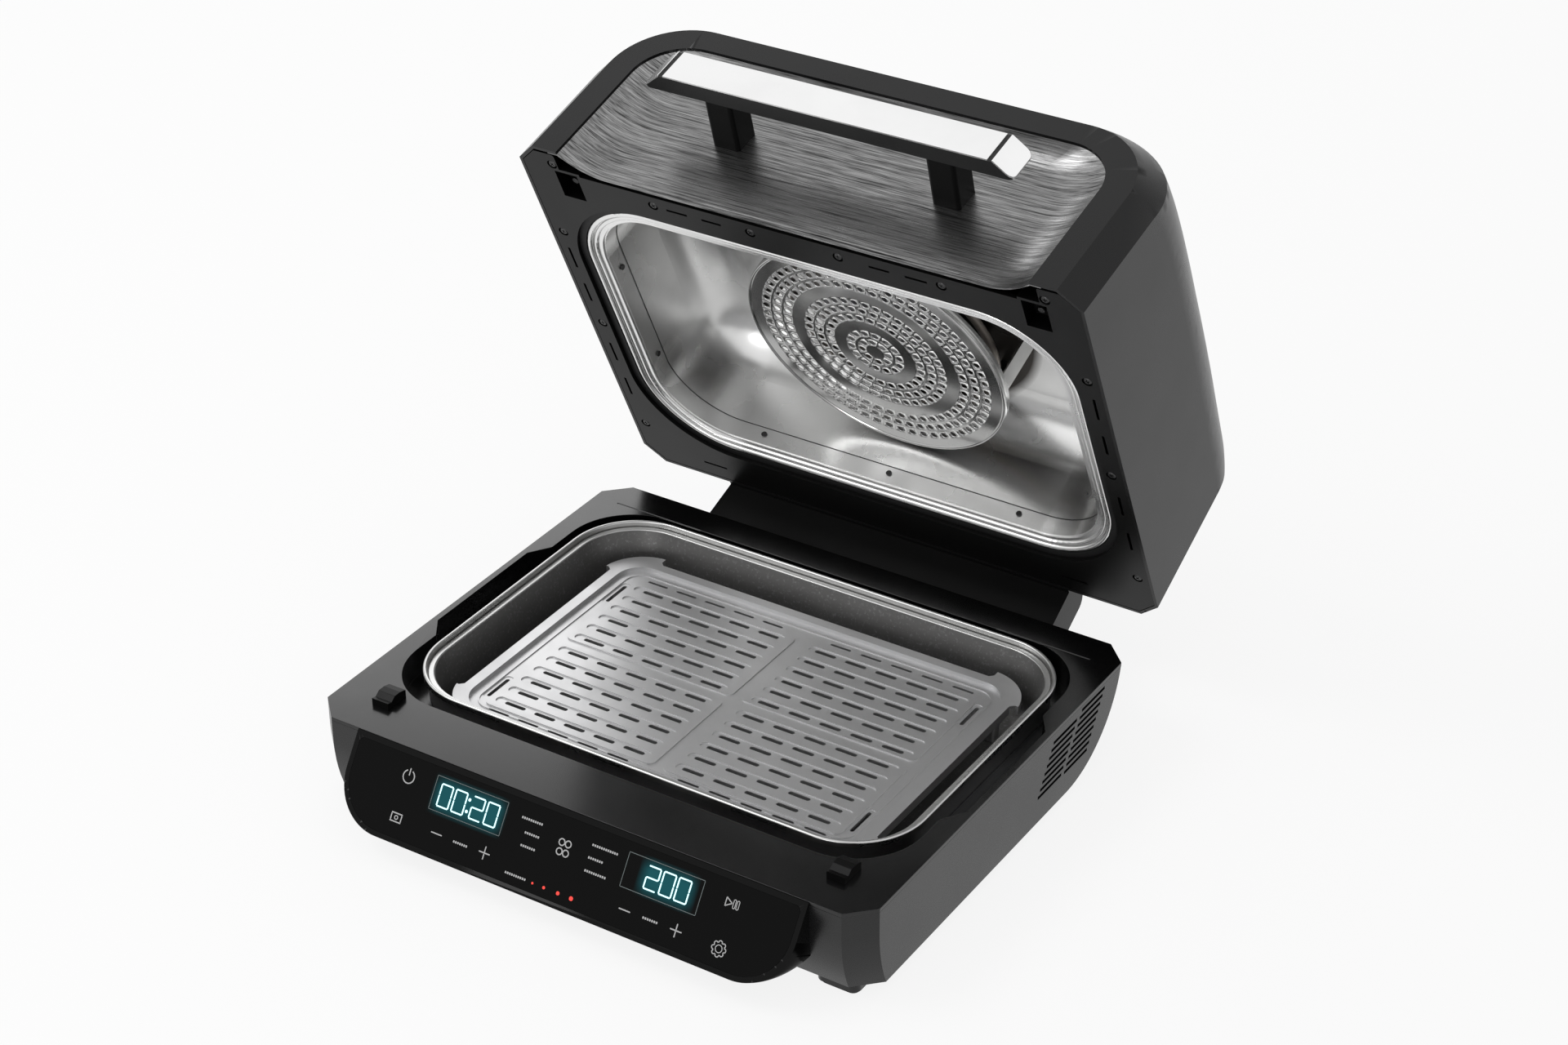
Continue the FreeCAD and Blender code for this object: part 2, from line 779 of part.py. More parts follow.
def control_panel():
    outer = panel_block(0, 0).cut(housing_block(0, deck_top + 0.001))
    pocket = panel_block(panel_wall, glass_thickness + panel_wall)
    pocket.translate(Vec(0, 0, panel_wall * 0.4))
    shape = outer.cut(pocket)
    glass = prism(glass_corners(slip), panel_place(-1), panel_normal * (glass_thickness + 1))
    windows = []
    for x, v in display_places:
        corners = rect(display_width / 2, v - display_height / 2, v + display_height / 2, 0)
        corners = [(a + x, b, c) for a, b, c in corners]
        windows.append(prism(corners, panel_place(-1), panel_normal * 8))
    shape = shape.cut([glass] + windows)
    return max(shape.Solids, key=lambda solid: solid.Volume)


def glass_corners(grow):
    half = panel_half_width - 4.0 + grow
    top = 5.0 - grow
    bottom = panel_length - 4.0 + grow
    radius = panel_radius - 4.0 + grow
    return [(-half, top, 4), (half, top, 4), (half, bottom, radius), (-half, bottom, radius)]


def panel_glass():
    return prism(glass_corners(0), panel_place(0), panel_normal * glass_thickness)


def display(place):
    x, v = place
    corners = rect(display_width / 2 - slip, v - display_height / 2 + slip, v + display_height / 2 - slip, 0)
    corners = [(a + x, b, c) for a, b, c in corners]
    return prism(corners, panel_place(glass_thickness), panel_normal * 4.5)


def touch_board():
    corners = [(-140, 12.5, 0), (140, 12.5, 0), (140, 56, 4), (-140, 56, 4)]
    board = prism(corners, panel_place(glass_thickness + 4.5), panel_normal * sheet)
    return board.cut(housing_block(-0.5, deck_top + 3))


def power_board():
    board = box(-135, 135, -172, -130, board_height, board_height + 1.6)
    blocks = [box(-110, -80, -165, -140, board_height + 1.6, board_height + 22),
              box(-60, -30, -160, -140, board_height + 1.6, board_height + 16),
              rod(20, -150, board_height + 1.6, 8, 22), box(60, 95, -165, -138, board_height + 1.6, board_height + 14)]
    return join([board] + blocks)


def cord_gland():
    # Outlet for the supply lead, in the back curve of the housing.
    length = gland_sleeve + gland_collar
    sleeve = rod_back(gland_x, gland_face - gland_sleeve, gland_z, gland_radius - slip, length)
    collar = rod_back(gland_x, gland_face, gland_z, gland_radius + 2.5, gland_collar)
    bore = rod_back(gland_x, gland_face - 40, gland_z, gland_bore, 60)
    return sleeve.fuse(collar).cut(bore)


def hinge_pins():
    inner = tab_half_width - 24.0
    outer = tab_half_width + ear_gap + ear_thickness
    pin = rod_across(inner, hinge_y, hinge_z, pin_radius, outer - inner)
    head = rod_across(outer, hinge_y, hinge_z, pin_radius + 2.5, 2.5)
    return body(both_sides(pin.fuse(head)))


# Lid shell
def crown(s):
    # Height of the lid's top along its depth: it rises fast behind the front, then falls a little.
    if s < crown_peak:
        return lid_height - crown_front_fall * ((crown_peak - s) / crown_peak) ** 4
    run = lid_depth - lid_back_turn - crown_peak
    return lid_height - crown_back_fall * ((s - crown_peak) / run) ** 2


def face_place(depth):
    # X across and distance up the front face, at a depth behind it.
    def place(a, b):
        s = b * math.sin(face_lean) + depth * math.cos(face_lean)
        h = b * math.cos(face_lean) - depth * math.sin(face_lean)
        return Vec(a, s, h)
    return place


def arch(half, floor, top, radius, place):
    # Section of the lid: two upright sides and a top with rounded corners.
    return outline([(-half, floor, 0), (half, floor, 0), (half, top, radius), (-half, top, radius)], place)


def lid_block(wall, floor):
    half = lid_half_width - wall
    radius = lid_edge_radius - wall
    turn = lid_depth - lid_back_turn
    sections = []
    for part in (0.0, 0.04, 0.12, 0.22, 0.36, 0.55, 0.78, 1.0):
        s = (turn + 20.0) * part - 20.0
        sections.append(arch(half, floor, crown(s) - wall, radius, on_xz(s)))
    front = Part.makeLoft(sections, True, False)
    sections = []
    for step in range(9):
        angle = math.radians(90 * step / 8)
        along = math.sin(angle)
        fall = 1 - math.cos(angle)
        s = turn + (lid_back_turn - wall) * along
        slope = lid_back_slope * along

        def place(a, b, s=s, slope=slope):
            return Vec(a, s - b * slope, b)
        top = crown(turn) - wall - lid_back_fall * fall
        sections.append(arch(half, floor, top, radius - lid_back_tighten * fall, place))
    back = Part.makeLoft(sections, True, False)
    return front.fuse(back).common(lid_sides(wall, floor)).common(lid_bevel(wall))


def lid_sides(wall, floor):
    # Space between the side walls, with the back corners cut off along the leaning back.
    half = lid_half_width - wall
    back = lid_depth - wall - floor * lid_back_slope
    cut_back = lid_chamfer - wall * (2 - root_two)
    corners = [(-half - 5, -30, 0), (half + 5, -30, 0), (half + 5, back - cut_back - 5, 0),
               (half - cut_back - 5, back + 5, 0), (-half + cut_back + 5, back + 5, 0),
               (-half - 5, back - cut_back - 5, 0)]
    rise = lid_height + 5 - floor
    return prism(corners, on_xy(floor), Vec(0, -rise * lid_back_slope, rise))


def lid_bevel(wall):
    # Space behind the front face, which widens at 45 degrees from the face's edge.
    sections = []
    for depth in (wall, bevel_reach):
        grow = depth - wall * root_two
        sections.append(arch(lid_face_half_width + grow, -60, lid_face_length + grow,
                             lid_face_radius + grow, face_place(depth)))
    cone = Part.makeLoft(sections, True, True)
    wide = arch(lid_depth, -lid_depth, lid_depth, 0, face_place(bevel_reach))
    return cone.fuse(Part.Face(wide).extrude(face_normal * lid_depth * 1.2))


def front_corners(grow):
    half = front_half_width + grow
    top = front_top + grow
    radius = front_radius + grow
    return [(-half, -40, 0), (half, -40, 0), (half, top, radius), (-half, top, radius)]


def lid_shell():
    shell = lid_block(lid_wall, -10.0)
    shell = lid_block(0, 0).cut(shell)
    window = prism(front_corners(0), face_place(-5), face_normal * 12)
    shell = shell.cut(window)
    bosses = []
    for x, s in frame_screw_places[1:]:
        inner = x - 4
        bosses.extend(both_sides(box(inner, lid_half_width - lid_wall + 0.5, s - 5, s + 5, frame_top, frame_top + 14)))
    holes = []
    for x, s in frame_screw_places[1:]:
        holes.extend(both_sides(rod(x, s, 0, 1.5, frame_top + 10)))
    return join([shell] + bosses).cut(holes)


def dish_block(shift):
    sections = []
    spread = dish_slope_width
    for part in (0.0, 0.25, 0.5, 0.75, 1.0):
        depth = dish_depth - (dish_depth - lid_wall) * (1 - part) ** 2 + shift
        inset = spread * part
        half = front_half_width - inset
        top = front_top - inset * 0.6
        radius = front_radius - inset * 0.3
        corners = [(-half, -40, 0), (half, -40, 0), (half, top, radius), (-half, top, radius)]
        sections.append(outline(corners, face_place(depth)))
    return Part.makeLoft(sections, True, False)


def lid_front_panel():
    tray = dish_block(sheet).cut(dish_block(0))
    edge = prism(front_corners(dish_flange), face_place(lid_wall), face_normal * sheet)
    edge = edge.cut(dish_block(0))
    floor_cut = box(-300, 300, -50, 60, -80, frame_lift)
    shape = join([tray, edge])
    back_s = dish_depth + sheet
    lower = box(-130, 130, back_s - 1, 38, frame_top, frame_top + sheet)
    shape = join([shape.cut(floor_cut), lower])
    holes = []
    for x, s in front_screw_places:
        holes.extend(both_sides(rod(x, s, 0, 1.7, 10)))
    for x in (-post_spacing / 2, post_spacing / 2):
        start = face_place(dish_depth - 5)(x, bar_bottom + bar_height / 2)
        holes.append(Part.makeCylinder(2.7, 20, start, face_normal))
    return shape.cut(holes)


def lip_outline(grow):
    return rect(lip_half_width, lip_front, lip_back, lip_radius, grow)


def lid_rim_frame():
    half = lid_half_width - lid_wall - slip
    corner = lid_face_half_width - lid_wall * root_two - 1.0
    front_corner = 5.0
    front_middle = 22.0
    back = lid_depth - lid_wall - slip - 0.3
    back_chamfer = lid_chamfer - lid_wall * (2 - root_two)
    step = front_half_width + 4.0
    corners = [(-half, back - back_chamfer, 0), (-half, half - corner, 0), (-corner - front_corner, front_corner, 0),
               (-step, front_corner, 2), (-step, front_middle, 2), (step, front_middle, 2), (step, front_corner, 2),
               (corner + front_corner, front_corner, 0), (half, half - corner, 0), (half, back - back_chamfer, 0),
               (half - back_chamfer, back, 0), (-half + back_chamfer, back, 0)]
    frame = slab(corners, frame_lift, frame_top)
    wall = ring(lip_outline(seal_width + 2), lip_outline(seal_width), frame_lift, lip_recess)
    collars = []
    for side in (-1, 1):
        x = side * post_x
        outer = box(x - 12, x + 12, hole_front - 2.5, hole_back + 2.5, frame_lift, switch_floor)
        collars.append(outer)
    frame = join([frame, wall] + collars)
    cutters = [slab(lip_outline(seal_width), -1, lip_recess + 1)]
    for side in (-1, 1):
        x = side * post_x
        cutters.append(box(x - 9.5, x + 9.5, hole_front, hole_back, -1, switch_floor + 1))
    for x, s in frame_screw_places + front_screw_places:
        cutters.extend(both_sides(rod(x, s, -1, 1.7, 8)))
        cutters.extend(both_sides(rod(x, s, -1, 4.0, frame_lift + 1 + 1.6)))
    slots = [(95.5, 32, 17, 2), (67, 32, 16, 2), (214, 122, 2, 22), (214, 161, 2, 20), (214, 230.5, 2, 21),
             (214, 272, 2, 20), (156.5, 346.7, 21, 2)]
    for x, s, length_x, length_s in slots:
        slot = box(x - length_x / 2, x + length_x / 2, s - length_s / 2, s + length_s / 2, -1, frame_top + 1)
        cutters.extend(both_sides(slot))
    return frame.cut(cutters)


def rim_screws():
    screws = []
    for x, s in frame_screw_places:
        screws.extend(both_sides(screw(x, s, frame_lift + 1.6, 1.5, 9.0, 3.4, 1.4)))
    for x, s in front_screw_places:
        screws.extend(both_sides(screw(x, s, frame_lift + 1.6, 1.5, 4.5, 3.4, 1.4)))
    return body(screws)


def dome_seal():
    return ring(lip_outline(seal_width), lip_outline(0), lip_recess - 3.0, lip_recess)


def dome_cavity(grow):
    # The cooking space inside the dome, or its outside when grown by the sheet.
    inset = -lip_width + grow
    wires = [outline(lip_outline(inset), on_xy(lip_recess)),
             outline(lip_outline(inset - dome_draft), on_xy(dome_height + grow))]
    shape = Part.makeLoft(wires, True, True)
    return shape.makeFillet(dome_blend + grow, edges_at(shape, dome_height + grow))


def dome():
    flange = slab(lip_outline(seal_width + 1.5), lip_recess, lip_recess + dome_sheet)
    parts = [flange, dome_cavity(dome_sheet)]
    for start, stop, fall in lip_beads:
        low = lip_recess - fall
        bead = ring(lip_outline(-start), lip_outline(-stop), low, lip_recess + dome_sheet / 2)
        parts.append(bead.makeFillet(min(fall * 0.9, (stop - start) * 0.45), edges_at(bead, low)))
    shape = join(parts)
    low = slab(lip_outline(-lip_width), lip_recess - 1, lip_recess + 0.01)
    holes = [rod(0, cover_centre, dome_height - 5, 9, 10)]
    for side in (-1, 1):
        terminal = heater_terminal(side)
        holes.append(rod(terminal.x, terminal.y, dome_height - 5, heater_tube + slip, 10))
    return shape.cut([dome_cavity(0), low] + holes)


def dome_wire(height, inset):
    # Outline of the dome's inner wall at a height, moved in by an inset.
    part = (height - lip_recess) / (dome_height - lip_recess)
    return outline(lip_outline(-lip_width - dome_draft * part - inset), on_xy(height))


def dome_skirt():
    low = lip_recess + 1.5
    outer = Part.makeLoft([dome_wire(low, 0.1), dome_wire(skirt_height, 0.1)], True, True)
    inner = Part.makeLoft([dome_wire(low - 1, skirt_sheet), dome_wire(skirt_height + 1, skirt_sheet)], True, True)
    return outer.cut(inner)


def skirt_rivets():
    rivets = []
    height = rivet_height
    inset = lip_width + dome_draft * (height - lip_recess) / (dome_height - lip_recess) + skirt_sheet + slip
    front = lip_front + inset
    back = lip_back - inset
    for x in (-110.0, 0.0, 110.0):
        rivets.append(Part.makeCylinder(2.2, 0.9, Vec(x, front, height), Vec(0, 1, 0)))
        rivets.append(Part.makeCylinder(2.2, 0.9, Vec(x, back, height), Vec(0, -1, 0)))
    side = lip_half_width - inset
    middle = (lip_front + lip_back) / 2
    for s in (middle - 47.0, middle + 53.0):
        rivets.append(Part.makeCylinder(2.2, 0.9, Vec(side, s, height), Vec(-1, 0, 0)))
        rivets.append(Part.makeCylinder(2.2, 0.9, Vec(-side, s, height), Vec(1, 0, 0)))
    return body(rivets)


def fan_cover():
    disc = rod(0, cover_centre, cover_height, cover_radius, cover_rim)
    hollow = rod(0, cover_centre, cover_height + dome_sheet, cover_radius - dome_sheet, cover_rim)
    holes = []
    for inset, pitch in cover_rings:
        radius = cover_radius - inset
        count = round(2 * math.pi * radius / pitch)
        for index in range(count):
            angle = 2 * math.pi * index / count
            x = radius * math.cos(angle)
            s = cover_centre + radius * math.sin(angle)
            holes.append(rod(x, s, cover_height - 1, cover_hole_radius, 3))
    roll = rod(0, cover_centre, cover_height - 1, cover_radius, 1.4).cut(
        rod(0, cover_centre, cover_height - 2, cover_radius - cover_roll, 4))
    roll = roll.makeFillet(0.9, edges_at(roll, cover_height - 1))
    return join([disc, roll]).cut([hollow] + holes)


def cover_brackets():
    # Straps from the dome's ceiling down to the rim of the fan cover.
    top = dome_height
    low = cover_height + dome_sheet
    profile_x = math.sqrt((cover_radius - dome_sheet) ** 2 - 9.0 ** 2) - 0.1
    strap = box(profile_x - 1.2, profile_x, cover_centre - 9, cover_centre + 9, low, top)
    foot = box(profile_x - 14, profile_x, cover_centre - 9, cover_centre + 9, low, low + 1.0)
    head = box(profile_x - 14, profile_x, cover_centre - 9, cover_centre + 9, top - 1.0, top)
    return body(both_sides(join([strap, foot, head])))


def heater_end(side):
    # Where the open loop stops on one side, and its direction there.
    angle = math.radians(side * heater_open - 90)
    x = heater_radius * math.cos(angle)
    s = cover_centre + heater_radius * math.sin(angle)
    return Vec(x, s, heater_height), Vec(side * math.sin(angle), -side * math.cos(angle), 0)


def heater_terminal(side):
    end, along = heater_end(side)
    return end + along * heater_bend


def heater_section(side):
    end, along = heater_end(side)
    return Part.Face(Part.Wire(Part.makeCircle(heater_tube, end, along)))


def upper_heater():
    # Open loop whose ends bend up and leave through the dome.
    up = Vec(0, 0, 1)
    loop = heater_section(1).revolve(Vec(0, cover_centre, 0), up, 360 - 2 * heater_open)
    parts = [loop]
    for side in (-1, 1):
        end, along = heater_end(side)
        parts.append(heater_section(side).revolve(end + up * heater_bend, along.cross(up), 90))
        terminal = heater_terminal(side)
        low = heater_height + heater_bend
        parts.append(rod(terminal.x, terminal.y, low, heater_tube, dome_height + 12 - low))
    return join(parts)


def heater_clips():
    clips = []
    for angle in (30, 90, 150):
        turn = math.radians(angle)
        x = heater_radius * math.cos(turn)
        s = cover_centre + heater_radius * math.sin(turn)
        clip = box(x - 4, x + 4, s - 1, s + 1, heater_height + heater_tube, dome_height)
        clips.append(clip.common(dome_cavity(0)))
    return body(clips)


def fan():
    # Stirring fan: a dished disc with eight blades and a hub.
    disc = rod(0, cover_centre, fan_height, fan_radius, 1.2)
    hub = rod(0, cover_centre, fan_height - 8, 7, 8)
    parts = [disc, hub]
    for index in range(8):
        blade = box(14, fan_radius - 2, -0.6, 0.6, fan_height - 14, fan_height)
        blade.rotate(Vec(30, 0, 0), Vec(0, 0, 1), 18)
        blade.rotate(Vec(0, 0, 0), Vec(0, 0, 1), 45 * index)
        blade.translate(Vec(0, cover_centre, 0))
        parts.append(blade)
    return join(parts).cut(rod(0, cover_centre, fan_height - 20, shaft_radius, 40))


def motor_shaft():
    low = fan_height - 14
    high = motor_floor + motor_height + 16
    return rod(0, cover_centre, low, shaft_radius, high - low)


def fan_nut():
    nut = slab([(6 * math.cos(math.radians(60 * i)), 6 * math.sin(math.radians(60 * i)), 0) for i in range(6)],
               fan_height - 13, fan_height - 8)
    nut.translate(Vec(0, cover_centre, 0))
    return nut.cut(rod(0, cover_centre, 0, shaft_radius, 200))


def cooling_fan():
    low = motor_floor + motor_height + 5
    hub = rod(0, cover_centre, low, 8, 8)
    parts = [hub]
    for index in range(6):
        blade = box(5, 36, -0.8, 0.8, 0, 10)
        blade.rotate(Vec(0, 0, 5), Vec(1, 0, 0), 40)
        blade.rotate(Vec(0, 0, 0), Vec(0, 0, 1), 60 * index)
        blade.translate(Vec(0, cover_centre, low - 1))
        parts.append(blade)
    return join(parts).cut(rod(0, cover_centre, 0, shaft_radius, 200))


def motor():
    can = rod(0, cover_centre, motor_floor, motor_radius, motor_height)
    can = can.makeFillet(3, [edge for edge in can.Edges if edge.BoundBox.ZLength < 1e-6])
    return can.cut(rod(0, cover_centre, 0, shaft_radius + slip, 200))


def motor_bracket():
    # Bridge on the dome's ceiling that carries the motor.
    low = dome_height + dome_sheet
    plate = box(-60, 60, cover_centre - 28, cover_centre + 28, motor_floor - 1.5, motor_floor)
    feet = both_sides(box(58.5, 60, cover_centre - 28, cover_centre + 28, low, motor_floor))
    toes = both_sides(box(58.5, 72, cover_centre - 28, cover_centre + 28, low, low + 1.5))
    return join([plate] + feet + toes).cut(rod(0, cover_centre, 0, shaft_radius + 2, 200))


def interlock_switches():
    switches = []
    for side in (-1, 1):
        x = side * post_x
        case = box(x - 10, x + 10, hole_front - 1, hole_back + 1, switch_floor, switch_floor + 16)
        bore = rod(x, post_s, switch_floor - 1, plunger_radius + slip, 12)
        switches.append(case.cut(bore))
    return body(switches)


def plunger(side):
    low = post_rise - lid_gap + seat_gap
    return rod(side * post_x, post_s, low, plunger_radius, switch_floor + 6 - low)


# Handle
def bar_solid(corners, low, high):
    # Plan (x, depth) of the bar drawn up the face from low to high.
    def place(a, b):
        return face_place(b)(a, low)
    up = Vec(0, math.sin(face_lean), math.cos(face_lean))
    return Part.Face(outline(corners, place)).extrude(up * (high - low))


def bar_plan(shrink):
    front = -bar_stand_off + shrink
    back = -bar_stand_off + bar_thickness
    return [(-bar_half_back + shrink, back, 0), (bar_half_back - shrink, back, 0),
            (bar_half_back - shrink, back - 1.3 + shrink * 0.4, 0), (bar_half_front - shrink * 0.4, front, 0),
            (-bar_half_front + shrink * 0.4, front, 0), (-bar_half_back + shrink, back - 1.3 + shrink * 0.4, 0)]


def bar_ends():
    # Seen from the front, the bar has rounded ends.
    corners = rect(bar_half_back, bar_bottom, bar_bottom + bar_height, bar_end_radius)
    return prism(corners, face_place(-bar_stand_off - 5), face_normal * (bar_thickness + 10))


def handle_grip():
    return bar_solid(bar_plan(bar_plate), bar_bottom, bar_bottom + bar_height).common(bar_ends())


def handle_plate():
    # Bright face with a cap at each end, parted by a gap.
    outer = bar_solid(bar_plan(0), bar_bottom, bar_bottom + bar_height).common(bar_ends())
    inner = bar_solid(bar_plan(bar_plate), bar_bottom - 1, bar_bottom + bar_height + 1)
    gap = box(bar_gap[0], bar_gap[1], -100, 100, 0, lid_height)
    return outer.cut([inner] + both_sides(gap))


def handle_posts():
    posts = []
    middle = bar_bottom + bar_height / 2
    back = -bar_stand_off + bar_thickness
    for x in (-post_spacing / 2, post_spacing / 2):
        corners = [(x - post_width / 2, middle - post_height / 2, 3), (x + post_width / 2, middle - post_height / 2, 3),
                   (x + post_width / 2, middle + post_height / 2, 3), (x - post_width / 2, middle + post_height / 2, 3)]
        post = prism(corners, face_place(back), face_normal * (dish_depth - back))
        bore = Part.makeCylinder(2.2, 30, face_place(dish_depth - 22)(x, middle), face_normal)
        posts.append(post.cut(bore))
    return body(posts)


def handle_screws():
    screws = []
    middle = bar_bottom + bar_height / 2
    for x in (-post_spacing / 2, post_spacing / 2):
        start = face_place(dish_depth - 20)(x, middle)
        shank = Part.makeCylinder(2.2, 20 + sheet, start, face_normal)
        head = Part.makeCylinder(4.5, 2.5, face_place(dish_depth + sheet)(x, middle), face_normal)
        screws.append(shank.fuse(head).removeSplitter())
    return body(screws)


# Hinge housing that joins the lid to its pins
def hinge_housing():
    # A wide arm hangs from the lid's back wall and ends in a barrel round the pins.
    y = hinge_y
    z = hinge_z
    lid_back = y - hinge_behind - lid_back_setback
    front = y - hinge_behind + tab_clearance
    back = front + tab_thickness
    top = lid_floor + tab_rise
    profile = [
        (lid_back, lid_floor, 0),
        (lid_back - tab_rise * lid_back_slope, top, 0),
        (lid_back + 5, top, 8),
        (back, top - 13, 10),
        (back, z + barrel_radius + 3, 4),
        (y + barrel_radius, z + barrel_radius - 6, 7),
        (y + barrel_radius, z - barrel_radius, barrel_radius - 0.5),
        (y - barrel_radius, z - barrel_radius, barrel_radius - 0.5),
        (front, z - 2, 6),
        (front, lid_floor, 0),
    ]
    solid = across(profile, -tab_half_width, tab_half_width)
    low = z - barrel_radius
    high = top + 1
    wide = tab_half_width
    narrow = tab_half_width - tab_flare * (high - low)
    flare = prism([(-wide, low, 0), (wide, low, 0), (narrow, high, 0), (-narrow, high, 0)],
                  on_xz(y - 2 * hinge_behind), Vec(0, 4 * hinge_behind, 0))
    solid = solid.common(flare)
    bores = both_sides(rod_across(tab_half_width - 25, y, z, pin_radius + pin_clearance, 30))
    pocket = across([(front + 4, z + 22, 3), (back - 4, z + 22, 3), (back - 4, top - 20, 3),
                     (front + 4, top - 10, 3)], -tab_half_width + 30, tab_half_width - 30)
    return solid.cut(bores + [pocket])


# Assembly: lid pieces are placed closed, then turned open about the hinge
def placed(shape):
    shape.translate(Vec(0, lid_front, lid_floor))
    return opened(shape)


def opened(shape):
    shape.rotate(Vec(0, hinge_y, hinge_z), Vec(1, 0, 0), -open_angle)
    return shape


nodes = {
    "base_housing": base_housing(),
    "rubber_feet": rubber_feet(),
    "base_plate": base_plate(),
    "base_plate_screws": base_plate_screws(),
    "deck": deck(),
    "interlock_posts": interlock_posts(),
    "heat_liner": liner(),
    "control_panel": control_panel(),
    "panel_glass": panel_glass(),
    "timer_display": display(display_places[0]),
    "temperature_display": display(display_places[1]),
    "touch_board": touch_board(),
    "power_board": power_board(),
    "cord_gland": cord_gland(),
    "hinge_pins": hinge_pins(),
    "pan": pan(),
    "grill_plate": grill_plate(),
    "lid_shell": placed(lid_shell()),
    "lid_front_panel": placed(lid_front_panel()),
    "lid_rim_frame": placed(lid_rim_frame()),
    "rim_screws": placed(rim_screws()),
    "dome_seal": placed(dome_seal()),
    "dome": placed(dome()),
    "dome_skirt": placed(dome_skirt()),
    "skirt_rivets": placed(skirt_rivets()),
    "fan_cover": placed(fan_cover()),
    "cover_brackets": placed(cover_brackets()),
    "upper_heater": placed(upper_heater()),
    "heater_clips": placed(heater_clips()),
    "motor": placed(motor()),
    "motor_bracket": placed(motor_bracket()),
    "fan": placed(fan()),
    "fan_nut": placed(fan_nut()),
    "motor_shaft": placed(motor_shaft()),
    "cooling_fan": placed(cooling_fan()),
    "interlock_switches": placed(interlock_switches()),
    "left_plunger": placed(plunger(-1)),
    "right_plunger": placed(plunger(1)),
    "handle_grip": placed(handle_grip()),
    "handle_plate": placed(handle_plate()),
    "handle_posts": placed(handle_posts()),
    "handle_screws": placed(handle_screws()),
    "hinge_housing": opened(hinge_housing()),
}

# The origin is under the middle of the whole object.
whole = Part.makeCompound(list(nodes.values())).optimalBoundingBox(True, False)
shift = Vec(0, -round((whole.YMin + whole.YMax) / 2, 1), 0)

os.makedirs("parts", exist_ok=True)
for name, shape in nodes.items():
    shape.translate(shift)
    shape.exportStep("parts/" + name + ".step")
    print(name, "solids", len(shape.Solids), "volume", round(shape.Volume), "valid", shape.isValid())

size = (whole.XLength, whole.YLength, whole.ZLength)
print("size", [round(value, 1) for value in size], "lowest", round(whole.ZMin, 2), "shift", shift.y)
print("hinge axis", round(hinge_y + shift.y, 2), round(hinge_z, 2))
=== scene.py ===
import bpy
import bmesh
import math
from mathutils import Matrix, Vector


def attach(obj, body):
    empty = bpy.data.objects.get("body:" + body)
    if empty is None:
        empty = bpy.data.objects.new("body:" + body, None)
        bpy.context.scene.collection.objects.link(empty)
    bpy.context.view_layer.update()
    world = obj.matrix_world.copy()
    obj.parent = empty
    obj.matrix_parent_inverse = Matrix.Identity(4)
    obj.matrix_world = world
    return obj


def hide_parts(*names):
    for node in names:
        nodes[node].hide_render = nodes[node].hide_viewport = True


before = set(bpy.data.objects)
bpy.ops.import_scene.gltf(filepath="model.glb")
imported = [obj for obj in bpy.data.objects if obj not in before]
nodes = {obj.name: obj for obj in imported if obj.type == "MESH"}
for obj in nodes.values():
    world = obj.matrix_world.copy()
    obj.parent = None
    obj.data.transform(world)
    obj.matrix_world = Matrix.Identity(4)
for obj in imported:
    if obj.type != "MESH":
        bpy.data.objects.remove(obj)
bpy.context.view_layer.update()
print("frame loaded with", len(nodes), "nodes")

# Where the photographed planes lie, in mm and degrees, as in the CAD
layout = {
    "deckShift": -71.3,      # middle of the deck, along Y
    "deckTop": 74.0,
    "deckFront": -183.5,     # front edge of the deck, from its middle
    "panelLean": 34.0,       # control panel, from upright
    "hingeY": 134.0,
    "hingeZ": 37.6,
    "lidOpen": 65.1,
    "lidFront": -387.3,      # lid's front rim from the hinge, lid closed
    "lidRim": 37.4,          # lid's rim above the hinge
    "faceLean": 8.9,         # lid's front panel, from upright, lid closed
}

# Each space turns mm in the deck's, the panel's or the lid's own axes into metres in the frame
scale = Matrix.Scale(0.001, 4)
deckSpace = Matrix.Translation((0, layout["deckShift"] / 1000, 0)) @ scale
panelSpace = (
    Matrix.Translation((0, (layout["deckFront"] + layout["deckShift"]) / 1000, layout["deckTop"] / 1000))
    @ Matrix.Rotation(math.radians(90 - layout["panelLean"]), 4, "X")
    @ scale
)
lidSpace = (
    Matrix.Translation((0, layout["hingeY"] / 1000, layout["hingeZ"] / 1000))
    @ Matrix.Rotation(-math.radians(layout["lidOpen"]), 4, "X")
    @ scale
    @ Matrix.Translation((0, layout["lidFront"], layout["lidRim"]))
)


# Shader nodes
def feed(tree, socket, value):
    # Another node's output is linked, and a number or colour is set on the socket
    if isinstance(value, bpy.types.NodeSocket):
        tree.links.new(value, socket)
    else:
        socket.default_value = value


def mathNode(tree, operation, *values, clamp=False):
    node = tree.nodes.new("ShaderNodeMath")
    node.operation = operation
    node.use_clamp = clamp
    for socket, value in zip(node.inputs, values):
        feed(tree, socket, value)
    return node.outputs[0]


def weightedSum(tree, first, second, share):
    # The share of the first, and the rest of the second
    much = mathNode(tree, "MULTIPLY", first, share)
    rest = mathNode(tree, "MULTIPLY", second, 1 - share)
    return mathNode(tree, "ADD", much, rest)


def noiseNode(tree, point, size, detail=3.0, roughness=0.5):
    node = tree.nodes.new("ShaderNodeTexNoise")
    for label, value in (("Vector", point), ("Scale", size), ("Detail", detail), ("Roughness", roughness)):
        feed(tree, node.inputs[label], value)
    return node.outputs["Fac"]


def mapRange(tree, source, low, high, toLow=0.0, toHigh=1.0):
    node = tree.nodes.new("ShaderNodeMapRange")
    limits = {"Value": source, "From Min": low, "From Max": high, "To Min": toLow, "To Max": toHigh}
    for label, value in limits.items():
        feed(tree, node.inputs[label], value)
    return node.outputs["Result"]


